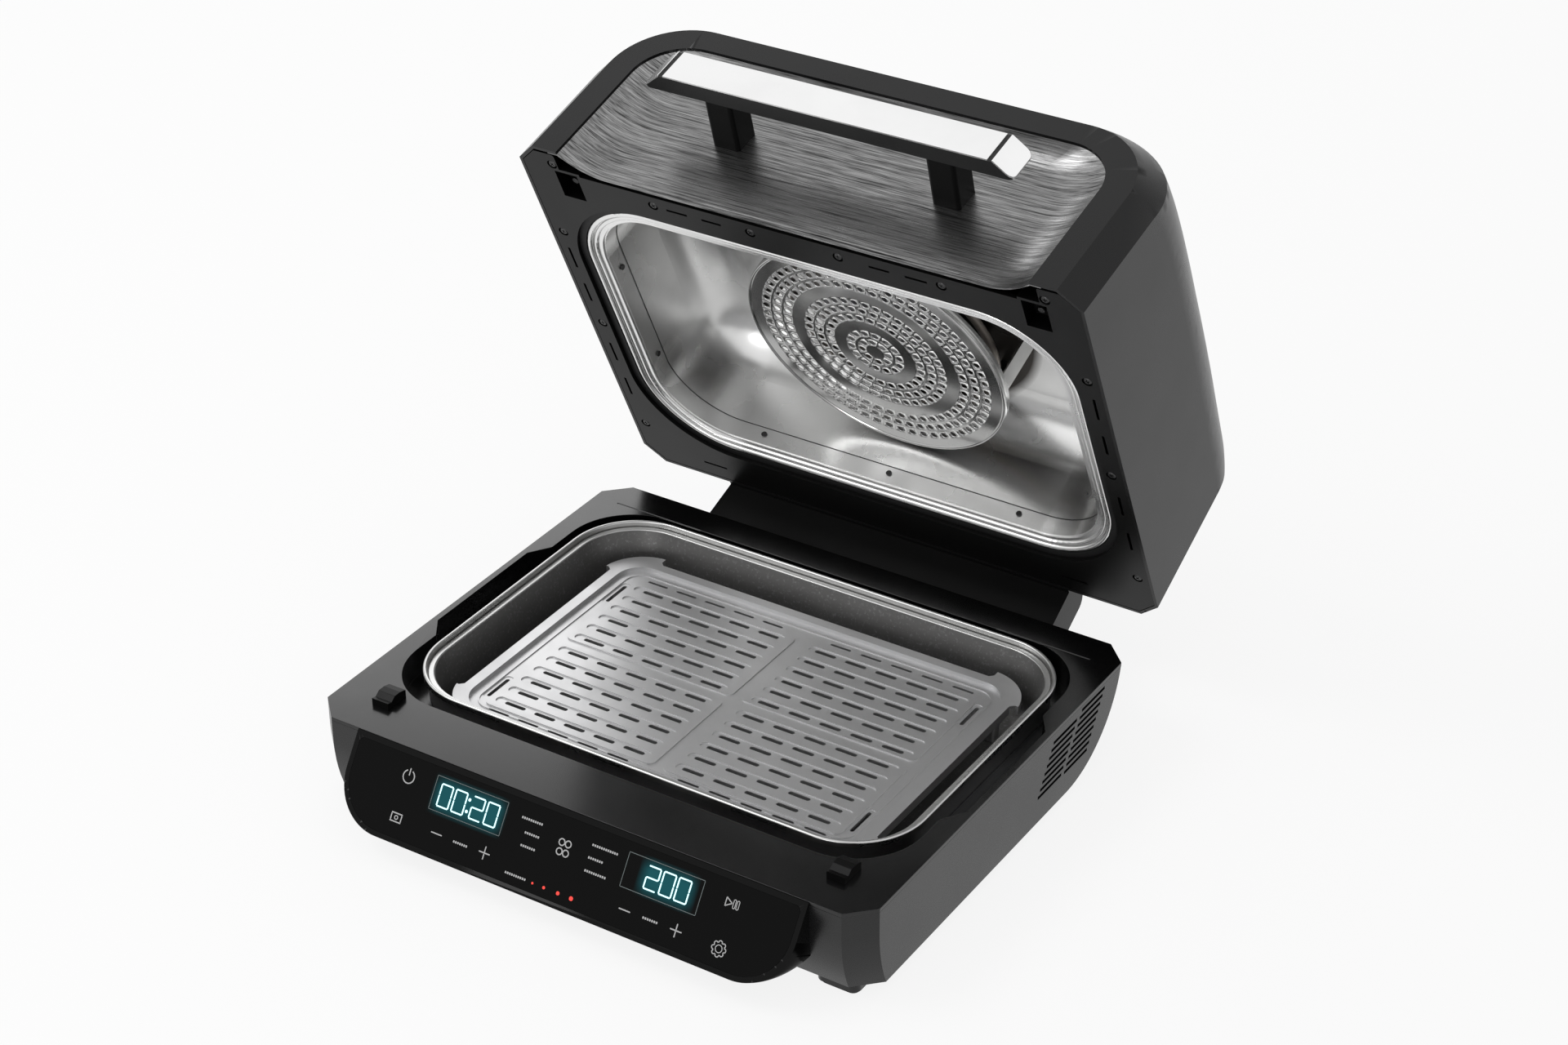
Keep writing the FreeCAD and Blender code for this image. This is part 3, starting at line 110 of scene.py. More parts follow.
def mixColours(tree, factor, first, second):
    # The Mix node's colours are its inputs 6 and 7 and its output 2
    node = tree.nodes.new("ShaderNodeMix")
    node.data_type = "RGBA"
    feed(tree, node.inputs["Factor"], factor)
    for index, colour in ((6, first), (7, second)):
        feed(tree, node.inputs[index], (*colour, 1) if isinstance(colour, tuple) else colour)
    return node.outputs[2]


def separate(tree, point):
    node = tree.nodes.new("ShaderNodeSeparateXYZ")
    feed(tree, node.inputs[0], point)
    return node.outputs


def objectPoint(tree, turn=(0, 0, 0), centre=(0, 0, 0)):
    # Object coordinates, moved to a centre and then turned
    coordinates = tree.nodes.new("ShaderNodeTexCoord")
    mapping = tree.nodes.new("ShaderNodeMapping")
    mapping.vector_type = "TEXTURE"
    mapping.inputs["Location"].default_value = centre
    mapping.inputs["Rotation"].default_value = turn
    tree.links.new(coordinates.outputs["Object"], mapping.inputs["Vector"])
    return mapping.outputs[0]


def addBump(tree, shader, height, strength, distance):
    bump = tree.nodes.new("ShaderNodeBump")
    for label, value in (("Strength", strength), ("Distance", distance), ("Height", height)):
        feed(tree, bump.inputs[label], value)
    feed(tree, shader.inputs["Normal"], bump.outputs[0])


def mixShaders(tree, factor, first, second, output):
    mix = tree.nodes.new("ShaderNodeMixShader")
    for socket, value in zip(mix.inputs, (factor, first.outputs[0], second.outputs[0])):
        feed(tree, socket, value)
    feed(tree, output.inputs["Surface"], mix.outputs[0])


def shade(colour, share):
    return tuple(value * share for value in colour)


# Shader groups shared by several materials
groupStyle = {
    "slowScale": 14.0,            # size of the slow changes of a moulded surface's gloss
    "grainShare": 0.4,            # how much of the gloss follows the grain, not those changes
    "glossSwing": 4.0,
    "brushDepth": 0.1,            # brushed lines: their stretch into the surface
    "lineShare": 0.55,            # fine lines against broad streaks
    "lineContrast": (0.38, 0.62),
    "markContrast": (0.42, 0.7),
}


def shaderGroup(name, inputs, outputs):
    # Every group takes a point, and a number for each of its inputs
    group = bpy.data.node_groups.new(name, "ShaderNodeTree")
    group.interface.new_socket("Vector", in_out="INPUT", socket_type="NodeSocketVector")
    for label, usual in inputs.items():
        socket = group.interface.new_socket(label, in_out="INPUT", socket_type="NodeSocketFloat")
        socket.default_value = usual
    for label in outputs:
        group.interface.new_socket(label, in_out="OUTPUT", socket_type="NodeSocketFloat")
    return group, group.nodes.new("NodeGroupInput").outputs, group.nodes.new("NodeGroupOutput").inputs


def buildMouldedGrain():
    # Fine spark-eroded texture of moulded plastic, with slow changes of gloss
    usual = {"Grain Scale": 900.0, "Rough": 0.35, "Spread": 0.06}
    group, given, made = shaderGroup("moulded grain", usual, ["Roughness", "Height"])
    grain = noiseNode(group, given["Vector"], given["Grain Scale"], detail=2.0, roughness=0.6)
    slow = noiseNode(group, given["Vector"], groupStyle["slowScale"])
    both = weightedSum(group, grain, slow, groupStyle["grainShare"])
    centred = mathNode(group, "SUBTRACT", both, 0.5)
    reach = mathNode(group, "MULTIPLY", given["Spread"], groupStyle["glossSwing"])
    swing = mathNode(group, "MULTIPLY", centred, reach)
    feed(group, made["Roughness"], mathNode(group, "ADD", swing, given["Rough"], clamp=True))
    feed(group, made["Height"], grain)
    return group


def buildBrushedLines():
    # Lines brushed along the point's X
    usual = {"Line Scale": 1500.0, "Stretch": 0.02, "Streak Scale": 60.0}
    group, given, made = shaderGroup("brushed lines", usual, ["Shade", "Height"])
    parts = separate(group, given["Vector"])
    fine = group.nodes.new("ShaderNodeCombineXYZ")
    feed(group, fine.inputs["X"], mathNode(group, "MULTIPLY", parts["X"], given["Stretch"]))
    feed(group, fine.inputs["Y"], parts["Y"])
    feed(group, fine.inputs["Z"], mathNode(group, "MULTIPLY", parts["Z"], groupStyle["brushDepth"]))
    lines = noiseNode(group, fine.outputs[0], given["Line Scale"], detail=4.0, roughness=0.7)
    streaks = noiseNode(group, fine.outputs[0], given["Streak Scale"], roughness=0.6)
    both = weightedSum(group, lines, streaks, groupStyle["lineShare"])
    feed(group, made["Shade"], mapRange(group, both, *groupStyle["lineContrast"]))
    feed(group, made["Height"], lines)
    return group


def buildWipeMarks():
    # Faint marks that a hand or a cloth leaves on a smooth surface
    usual = {"Mark Scale": 9.0, "Rough": 0.12, "Spread": 0.05}
    group, given, made = shaderGroup("wipe marks", usual, ["Roughness", "Mask"])
    broad = noiseNode(group, given["Vector"], given["Mark Scale"], detail=4.0, roughness=0.55)
    mask = mapRange(group, broad, *groupStyle["markContrast"])
    duller = mathNode(group, "MULTIPLY", mask, given["Spread"])
    feed(group, made["Roughness"], mathNode(group, "ADD", duller, given["Rough"]))
    feed(group, made["Mask"], mask)
    return group


mouldedGrain = buildMouldedGrain()
brushedLines = buildBrushedLines()
wipeMarks = buildWipeMarks()
print("shader groups built")


# Materials
def startMaterial(name, colour, metallic=0.0, roughness=0.4, specular=0.5):
    material = bpy.data.materials.new(name)
    material.use_nodes = True
    tree = material.node_tree
    shader = tree.nodes["Principled BSDF"]
    shader.inputs["Base Color"].default_value = (*colour, 1)
    shader.inputs["Metallic"].default_value = metallic
    shader.inputs["Roughness"].default_value = roughness
    shader.inputs["Specular IOR Level"].default_value = specular
    material.diffuse_color = (*colour, 1)
    return material, tree, shader


def useGroup(tree, group, point, values):
    node = tree.nodes.new("ShaderNodeGroup")
    node.node_tree = group
    feed(tree, node.inputs["Vector"], point)
    for label, value in values.items():
        feed(tree, node.inputs[label], value)
    return node.outputs


def addWipeMarks(tree, shader, look):
    # Marks that change the gloss. It gives their mask, for the colour
    values = {"Mark Scale": look["markScale"], "Rough": look["rough"], "Spread": look["spread"]}
    marks = useGroup(tree, wipeMarks, objectPoint(tree), values)
    feed(tree, shader.inputs["Roughness"], marks["Roughness"])
    return marks["Mask"]


plasticStyle = {
    "grainShade": 1.35,      # colour on the grain's tops
    "bumpHeight": 0.0001,    # metres
}
metalStyle = {
    "markShade": 0.93,       # colour in the wipe marks
    "glossSwing": 0.06,      # of brushed lines, either way
    "bumpHeight": 0.0002,
}


def mouldedPlastic(name, colour, rough, spread, grainScale, depth, specular):
    material, tree, shader = startMaterial(name, colour, 0.0, rough, specular)
    values = {"Grain Scale": grainScale, "Rough": rough, "Spread": spread}
    grain = useGroup(tree, mouldedGrain, objectPoint(tree), values)
    feed(tree, shader.inputs["Roughness"], grain["Roughness"])
    lighter = shade(colour, plasticStyle["grainShade"])
    feed(tree, shader.inputs["Base Color"], mixColours(tree, grain["Height"], colour, lighter))
    addBump(tree, shader, grain["Height"], depth, plasticStyle["bumpHeight"])
    return material


def polishedMetal(name, colour, rough, spread, markScale, metallic):
    material, tree, shader = startMaterial(name, colour, metallic, rough)
    mask = addWipeMarks(tree, shader, {"markScale": markScale, "rough": rough, "spread": spread})
    marked = mixColours(tree, mask, colour, shade(colour, metalStyle["markShade"]))
    feed(tree, shader.inputs["Base Color"], marked)
    return material


def glowing(name, colour, strength):
    material, tree, shader = startMaterial(name, colour)
    shader.inputs["Emission Color"].default_value = (*colour, 1)
    shader.inputs["Emission Strength"].default_value = strength
    return material


brushedFront = {
    "dark": (0.03, 0.03, 0.03),
    "light": (0.38, 0.38, 0.38),
    "rough": 0.32,
    "lineScale": 1500,
    "stretch": 0.025,
    "streakScale": 620,
    "depth": 0.3,
}


def buildBrushedFront(look):
    # Brushed black steel of the lid's front panel, its lines from side to side
    rough = look["rough"]
    material, tree, shader = startMaterial("brushed black steel", look["light"], 1.0, rough)
    turn = (math.radians(-layout["lidOpen"] + 90 - layout["faceLean"]), 0, 0)
    values = {
        "Line Scale": look["lineScale"],
        "Stretch": look["stretch"],
        "Streak Scale": look["streakScale"],
    }
    lines = useGroup(tree, brushedLines, objectPoint(tree, turn), values)
    colour = mixColours(tree, lines["Shade"], look["dark"], look["light"])
    feed(tree, shader.inputs["Base Color"], colour)
    swing = metalStyle["glossSwing"]
    gloss = mapRange(tree, lines["Shade"], 0.0, 1.0, rough + swing, rough - swing)
    feed(tree, shader.inputs["Roughness"], gloss)
    addBump(tree, shader, lines["Height"], look["depth"], metalStyle["bumpHeight"])
    return material


panCoat = {
    "edge": (0.50, 0.50, 0.495),
    "wall": (0.16, 0.158, 0.155),
    "speckle": (0.26, 0.26, 0.26),
    "wallMetal": 0.7,
    "wallRough": 0.36,
    "edgeRough": 0.26,
    "fade": (70.02, 70.12),           # heights in mm where the coat ends; just above the flat ledge, so the ledge takes the coat's dark colour as painted shade
    "speckleScale": 420.0,
    "speckleContrast": (0.55, 0.75),
    "speckleBump": 0.10,
    "markScale": 14.0,
    "markSpread": 0.10,
}


def buildPanMetal(look):
    # Bright on the pan's rim above a height just over its flat ledge, with a dark speckled coat on its
    # walls and floor. The flat ledge takes the dark coat too, as painted shade in the groove of the rim
    material, tree, shader = startMaterial("pan metal", look["edge"], 1.0, look["edgeRough"])
    point = objectPoint(tree)
    low, high = look["fade"]
    upper = mapRange(tree, separate(tree, point)["Z"], low / 1000, high / 1000)
    speckle = noiseNode(tree, point, look["speckleScale"], detail=2.0, roughness=0.7)
    spots = mapRange(tree, speckle, *look["speckleContrast"])
    wall = mixColours(tree, spots, look["wall"], look["speckle"])
    # Below the fade: the real coat on walls and floor, and painted shade on the flat ledge
    feed(tree, shader.inputs["Base Color"], mixColours(tree, upper, wall, look["edge"]))
    feed(tree, shader.inputs["Metallic"], mapRange(tree, upper, 0.0, 1.0, look["wallMetal"], 1.0))
    values = {"Mark Scale": look["markScale"], "Rough": 0.0, "Spread": look["markSpread"]}
    marks = useGroup(tree, wipeMarks, point, values)
    level = mapRange(tree, upper, 0.0, 1.0, look["wallRough"], look["edgeRough"])
    feed(tree, shader.inputs["Roughness"], mathNode(tree, "ADD", marks["Roughness"], level))
    addBump(tree, shader, speckle, look["speckleBump"], plasticStyle["bumpHeight"])
    return material


domeSteel = {
    "colour": (0.80, 0.80, 0.795),
    "rough": 0.25,
    "spread": 0.07,
    "markScale": 12.0,
    # Painted shade: the colour of the chamber behind the fan cover
    "chamberShade": (0.05, 0.045, 0.04),
    "centre": (0.0, 197.0),           # of the chamber behind the cover, in the lid
    "reach": (101.0, 109.0),          # from its centre, where the painted shade ends
    "height": (42.0, 47.0),           # above the rim, where the painted shade begins
}


def buildDomeSteel(look):
    # Satin steel, with painted shade: dark in the chamber behind the fan cover
    material, tree, shader = startMaterial("dome stainless", look["colour"], 1.0, look["rough"])
    mask = addWipeMarks(tree, shader, look)
    clean = mixColours(tree, mask, look["colour"], shade(look["colour"], metalStyle["markShade"]))
    x, y = look["centre"]
    centre = lidSpace @ Vector((x, y, 0))
    turn = (-math.radians(layout["lidOpen"]), 0, 0)
    point = separate(tree, objectPoint(tree, turn, tuple(centre)))
    squareX = mathNode(tree, "POWER", point["X"], 2.0)
    squareY = mathNode(tree, "POWER", point["Y"], 2.0)
    reach = mathNode(tree, "POWER", mathNode(tree, "ADD", squareX, squareY), 0.5)
    near, far = look["reach"]
    low, high = look["height"]
    inside = mapRange(tree, reach, near / 1000, far / 1000, 1.0, 0.0)
    above = mapRange(tree, point["Z"], low / 1000, high / 1000)
    behind = mathNode(tree, "MULTIPLY", inside, above)
    # Painted shade behind the fan cover, laid over the clean steel
    feed(tree, shader.inputs["Base Color"], mixColours(tree, behind, clean, look["chamberShade"]))
    return material


panelGloss = {
    "colour": (0.0015, 0.0015, 0.0015),
    "specular": 0.08,
    "rough": 0.09,
    "spread": 0.06,
    "markScale": 11.0,
    # x and distance down from the panel's top, half width and half height of each lit display
    "windows": [(-80.3, 22.6, 27.0, 10.0), (82.0, 23.2, 19.0, 9.5)],
    "softness": 4.5,
    "glow": (0.006, 0.085, 0.10),
    "strength": 1.0,
}


def buildPanelGloss(look):
    # Gloss black glass with a teal glow that spreads from the lit displays
    material, tree, shader = startMaterial("gloss black glass", look["colour"], 0.0, look["rough"],
                                           look["specular"])
    addWipeMarks(tree, shader, look)
    turn = (math.radians(90 - layout["panelLean"]), 0, 0)
    soft = look["softness"] / 1000
    displays = []
    for x, down, halfWide, halfHigh in look["windows"]:
        centre = panelSpace @ Vector((x, -down, 0))
        point = separate(tree, objectPoint(tree, turn, tuple(centre)))
        fades = []
        for axis, half in (("X", halfWide / 1000), ("Y", halfHigh / 1000)):
            distance = mathNode(tree, "ABSOLUTE", point[axis])
            fades.append(mapRange(tree, distance, half - soft, half + soft, 1.0, 0.0))
        displays.append(mathNode(tree, "MULTIPLY", *fades))
    glow = mathNode(tree, "MAXIMUM", *displays)
    feed(tree, shader.inputs["Emission Color"], mixColours(tree, glow, (0.0, 0.0, 0.0), look["glow"]))
    shader.inputs["Emission Strength"].default_value = look["strength"]
    return material


# Plastics: label, colour, roughness, its spread, grain scale, depth of the grain, specular
plastics = {
    "housing": ("satin black housing", (0.004, 0.004, 0.0042), 0.27, 0.08, 1100, 0.2, 0.42),
    "deck": ("satin black deck", (0.0015, 0.0015, 0.0016), 0.20, 0.06, 1300, 0.12, 0.45),
    "lid": ("satin dark lid", (0.004, 0.004, 0.0042), 0.29, 0.05, 1300, 0.1, 0.24),
    "frame": ("black rim frame", (0.0015, 0.0015, 0.0015), 0.34, 0.06, 1000, 0.2, 0.16),
    "grip": ("black grip", (0.003, 0.003, 0.003), 0.36, 0.06, 1200, 0.2, 0.35),
    "post": ("black posts", (0.0015, 0.0015, 0.0015), 0.34, 0.06, 1200, 0.2, 0.12),
    "rubber": ("black rubber", (0.010, 0.010, 0.010), 0.7, 0.1, 700, 0.4, 0.25),
    "seal": ("black silicone seal", (0.006, 0.006, 0.0062), 0.55, 0.08, 500, 0.2, 0.25),
    "board": ("green board", (0.02, 0.09, 0.04), 0.45, 0.1, 300, 0.1, 0.5),
    "bezel": ("gloss black bezel", (0.0015, 0.0015, 0.0015), 0.16, 0.05, 900, 0.1, 0.12),
}

# Metals: label, colour, roughness, its spread, scale of the wipe marks, metallic
metals = {
    "steel": ("satin stainless", (0.76, 0.76, 0.755), 0.27, 0.07, 12, 1.0),
    # Painted shadow line: a dark ring along the dome skirt's upper edge
    "shadowLine": ("sheet edge", (0.06, 0.06, 0.06), 0.4, 0.1, 30, 1.0),
    "darkScrew": ("black screw", (0.06, 0.06, 0.06), 0.3, 0.08, 60, 1.0),
    "coverSteel": ("cover stainless", (0.46, 0.46, 0.455), 0.13, 0.05, 20, 1.0),
    "plated": ("plated sheet", (0.45, 0.45, 0.46), 0.35, 0.12, 16, 1.0),
    "screwSteel": ("plated screw", (0.20, 0.20, 0.205), 0.32, 0.08, 60, 1.0),
    "handlePlate": ("satin handle plate", (0.90, 0.90, 0.90), 0.16, 0.05, 10, 1.0),
    "plate": ("grey grill plate", (0.54, 0.54, 0.545), 0.36, 0.08, 18, 0.9),
    "heater": ("heater sheath", (0.22, 0.20, 0.18), 0.4, 0.1, 30, 1.0),
    "aluminium": ("mill aluminium", (0.62, 0.62, 0.63), 0.33, 0.1, 22, 1.0),
}

# Lit or printed marks: label, colour, strength
litMarks = {
    "frameLine": ("display outline", (0.10, 0.12, 0.12), 0.1),
    "digits": ("lit digits", (0.52, 0.84, 0.86), 0.85),
    "legend": ("printed legend", (0.36, 0.36, 0.36), 0.12),
    "heatDot": ("lit red dot", (0.55, 0.035, 0.025), 0.9),
}

finishes = {
    "brushedFront": buildBrushedFront(brushedFront),
    "pan": buildPanMetal(panCoat),
    "domeSteel": buildDomeSteel(domeSteel),
    "glass": buildPanelGloss(panelGloss),
}
for make, family in ((mouldedPlastic, plastics), (polishedMetal, metals), (glowing, litMarks)):
    for finish, look in family.items():
        finishes[finish] = make(*look)
print("materials built:", len(finishes))


# Every CAD node gets its finish, also where a piece replaces it, and crisp edges get a small round
nodeFinish = {
    "base_housing": "housing", "rubber_feet": "rubber", "base_plate": "plated",
    "base_plate_screws": "screwSteel", "deck": "deck", "interlock_posts": "post", "heat_liner": "plated",
    "control_panel": "bezel", "panel_glass": "glass", "timer_display": "glass",
    "temperature_display": "glass", "touch_board": "board", "power_board": "board", "cord_gland": "rubber",
    "hinge_pins": "screwSteel", "pan": "pan", "grill_plate": "plate", "lid_shell": "lid",
    "lid_front_panel": "brushedFront", "lid_rim_frame": "frame", "rim_screws": "screwSteel",
    "dome_seal": "seal", "dome": "domeSteel", "dome_skirt": "steel", "skirt_rivets": "darkScrew",
    "fan_cover": "coverSteel", "cover_brackets": "coverSteel", "upper_heater": "heater",
    "heater_clips": "coverSteel", "motor": "plated", "motor_bracket": "plated",
    "interlock_switches": "grip", "handle_grip": "grip", "handle_plate": "handlePlate",
    "handle_posts": "post", "handle_screws": "screwSteel", "hinge_housing": "frame", "fan": "aluminium",
    "fan_nut": "screwSteel", "motor_shaft": "screwSteel", "cooling_fan": "grip", "left_plunger": "grip",
    "right_plunger": "grip",
}
for name, node in nodes.items():
    node.data.materials.clear()
    node.data.materials.append(finishes[nodeFinish[name]])

edgeRounds = {     # node: radius of its edges in mm
    "base_housing": 0.8, "deck": 0.6, "control_panel": 0.5, "lid_shell": 0.7, "lid_rim_frame": 0.35,
    "hinge_housing": 0.6, "interlock_posts": 0.6, "handle_posts": 0.4, "grill_plate": 0.5,
    "rubber_feet": 0.5, "skirt_rivets": 0.55, "handle_grip": 0.5, "handle_plate": 0.3, "hinge_pins": 0.5,
    "cord_gland": 0.5,
}
edgeStyle = {
    "mergeWithin": 0.00001,     # metres between doubled points
    "segments": 2,
    "sharpest": 32,             # degrees between faces, past which an edge is rounded
}


def roundEdges(node, radius):
    weld = node.modifiers.new("merge", "WELD")
    weld.merge_threshold = edgeStyle["mergeWithin"]
    bevel = node.modifiers.new("edge round", "BEVEL")
    bevel.width = radius / 1000
    bevel.segments = edgeStyle["segments"]
    bevel.limit_method = "ANGLE"
    bevel.angle_limit = math.radians(edgeStyle["sharpest"])
    bevel.use_clamp_overlap = True
    weighted = node.modifiers.new("even shading", "WEIGHTED_NORMAL")
    weighted.keep_sharp = False


for name, radius in edgeRounds.items():
    roundEdges(nodes[name], radius)
print("nodes finished:", len(nodes), "with rounded edges on", len(edgeRounds))


# Making pieces
def addObject(name, data):
    item = bpy.data.objects.new(name, data)
    bpy.context.scene.collection.objects.link(item)
    return item


def addPiece(name, form, space, body, finish, smooth=35):
    # The mesh is made in mm in one of the spaces, and its object stays at the origin
    form.transform(space)
    mesh = bpy.data.meshes.new(name)
    form.to_mesh(mesh)
    form.free()
    mesh.materials.append(finishes[finish])
    mesh.shade_smooth()
    mesh.set_sharp_from_angle(angle=math.radians(smooth))
    piece = addObject(name, mesh)
    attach(piece, body)
    return piece


def blend(into, part, matrix=None):
    # Adds one form to another
    if matrix is not None:
        part.transform(matrix)
    mesh = bpy.data.meshes.new("part")
    part.to_mesh(mesh)
    part.free()
    into.from_mesh(mesh)
    bpy.data.meshes.remove(mesh)


def newVerts(grown):
    return [item for item in grown["geom"] if isinstance(item, bmesh.types.BMVert)]


def newEdges(grown):
    return [item for item in grown["geom"] if isinstance(item, bmesh.types.BMEdge)]


def rectangle(wide, high, corner=0.0, segments=3):
    form = bmesh.new()
    bmesh.ops.create_grid(form, x_segments=1, y_segments=1, size=0.5)
    bmesh.ops.scale(form, vec=(wide, high, 1), verts=form.verts)
    if corner > 0:
        bmesh.ops.bevel(form, geom=form.verts[:], offset=corner, segments=segments, profile=0.5,
                        affect="VERTICES", material=-1)
    return form


def thicken(form, thick):
    raised = bmesh.ops.extrude_face_region(form, geom=form.faces[:])
    bmesh.ops.translate(form, vec=(0, 0, thick), verts=newVerts(raised))
    bmesh.ops.recalc_face_normals(form, faces=form.faces)


def flatBar(wide, high, corner, thick, segments=3):
    form = rectangle(wide, high, corner, segments)
    thicken(form, thick)
    return form


def flatArc(radius, wide, thick, start, sweep, steps):
    # A flat line bent round the origin, from a start angle through a sweep
    form = rectangle(wide, thick)
    bmesh.ops.delete(form, geom=form.faces[:], context="FACES_ONLY")
    upright = Matrix.Rotation(math.radians(90), 3, "X")
    bmesh.ops.rotate(form, cent=(0, 0, 0), matrix=upright, verts=form.verts)
    bmesh.ops.translate(form, vec=(radius, 0, thick / 2), verts=form.verts)
    begin = Matrix.Rotation(math.radians(start), 3, "Z")
    bmesh.ops.rotate(form, cent=(0, 0, 0), matrix=begin, verts=form.verts)
    whole = sweep >= 360
    bmesh.ops.spin(form, geom=form.verts[:] + form.edges[:], cent=(0, 0, 0), axis=(0, 0, 1),
                   angle=math.radians(sweep), steps=steps, use_merge=whole)
    if not whole:
        bmesh.ops.holes_fill(form, edges=[edge for edge in form.edges if edge.is_boundary], sides=4)
    bmesh.ops.recalc_face_normals(form, faces=form.faces)
    return form


def growLoop(form, loop, reach, rise):
    # Extrudes a loop of edges to a circle round Z, and gives the new loop
    grown = bmesh.ops.extrude_edge_only(form, edges=loop)
    for vert in newVerts(grown):
        flat = vert.co.xy.normalized() * reach
        vert.co = (flat.x, flat.y, rise)
    return newEdges(grown)


# Touch panel: everything printed or lit stands a hair above the glass
panelPrint = {
    "lift": 0.02,
    "thick": 0.12,
    "digitWide": 10.4,
    "digitHigh": 16.4,
    "digitLine": 1.05,
    "gapAcross": 1.15,       # of a digit's bars, as shares of its line
    "gapDown": 0.75,
    "digitRound": 0.42,      # corner of a bar, as a share of its line
    "timer": [("0", -99.9), ("0", -87.7), ("2", -72.8), ("0", -60.6)],
    "timerMiddle": 22.7,
    "colon": (-80.4, 4.1),   # x, and how far its dots are from the middle
    "colonDot": (2.2, 0.9),  # its width and corner
    "temperature": [("2", 70.3), ("0", 82.3), ("0", 94.3)],
    "temperatureMiddle": 23.2,
    "frame": (59.4, 23.6, 0.45, 0.06),       # width, height, line and thickness
    "frameMiddles": [(-80.2, 22.4), (78.3, 23.5)],
}
digitBars = {"0": "abcdef", "2": "abged"}


def at(x, down, turn=0.0):
    # A place on the control panel: across from its middle, down from its top edge, and turned
    return Matrix.Translation((x, -down, panelPrint["lift"])) @ Matrix.Rotation(math.radians(turn), 4, "Z")


def sevenSegments(sign):
    # One digit, centred, from up to seven bars
    wide = panelPrint["digitWide"]
    high = panelPrint["digitHigh"]
    line = panelPrint["digitLine"]
    sideX = wide / 2 - line / 2
    endY = high / 2 - line / 2
    flat = wide - line * panelPrint["gapAcross"]
    tall = high / 2 - line * panelPrint["gapDown"]
    bars = {     # x, y, width and height
        "a": (0, endY, flat, line), "g": (0, 0, flat, line), "d": (0, -endY, flat, line),
        "b": (sideX, endY / 2, line, tall), "c": (sideX, -endY / 2, line, tall),
        "f": (-sideX, endY / 2, line, tall), "e": (-sideX, -endY / 2, line, tall),
    }
    corner = line * panelPrint["digitRound"]
    digit = bmesh.new()
    for letter in digitBars[sign]:
        x, y, barWide, barHigh = bars[letter]
        bar = flatBar(barWide, barHigh, corner, panelPrint["thick"], 2)
        blend(digit, bar, Matrix.Translation((x, y, 0)))
    return digit


def numberForm(places, middle):
    number = bmesh.new()
    for sign, x in places:
        blend(number, sevenSegments(sign), at(x, middle))
    return number


def buildDisplays():
    timer = numberForm(panelPrint["timer"], panelPrint["timerMiddle"])
    colonX, spread = panelPrint["colon"]
    dotWide, dotCorner = panelPrint["colonDot"]
    for side in (-1, 1):
        dot = flatBar(dotWide, dotWide, dotCorner, panelPrint["thick"])
        blend(timer, dot, at(colonX, panelPrint["timerMiddle"] + spread * side))
    addPiece("timer_digits", timer, panelSpace, "base", "digits")
    temperature = numberForm(panelPrint["temperature"], panelPrint["temperatureMiddle"])
    addPiece("temperature_digits", temperature, panelSpace, "base", "digits")
    frames = bmesh.new()
    wide, high, line, thick = panelPrint["frame"]
    for x, down in panelPrint["frameMiddles"]:
        for side in (-1, 1):
            blend(frames, flatBar(wide, line, 0, thick), at(x, down + side * high / 2))
            blend(frames, flatBar(line, high - line, 0, thick), at(x + side * wide / 2, down))
    addPiece("display_frames", frames, panelSpace, "base", "frameLine")


# Legends are rows of short blocks: x, distance down and width of each row
legends = {
    "rows": [(-29.0, 16.3, 17.0), (-26.2, 25.3, 11.5), (-26.5, 34.2, 12.0), (30.3, 16.5, 21.5),
             (25.6, 25.3, 12.0), (28.4, 34.2, 17.5), (-77.6, 48.9, 12.5), (77.6, 49.0, 12.5),
             (-29.3, 55.0, 18.0)],
    "high": 1.6,
    "step": 1.75,
    "filled": 0.72,          # share of each step that its block takes
    "corner": 0.3,
}

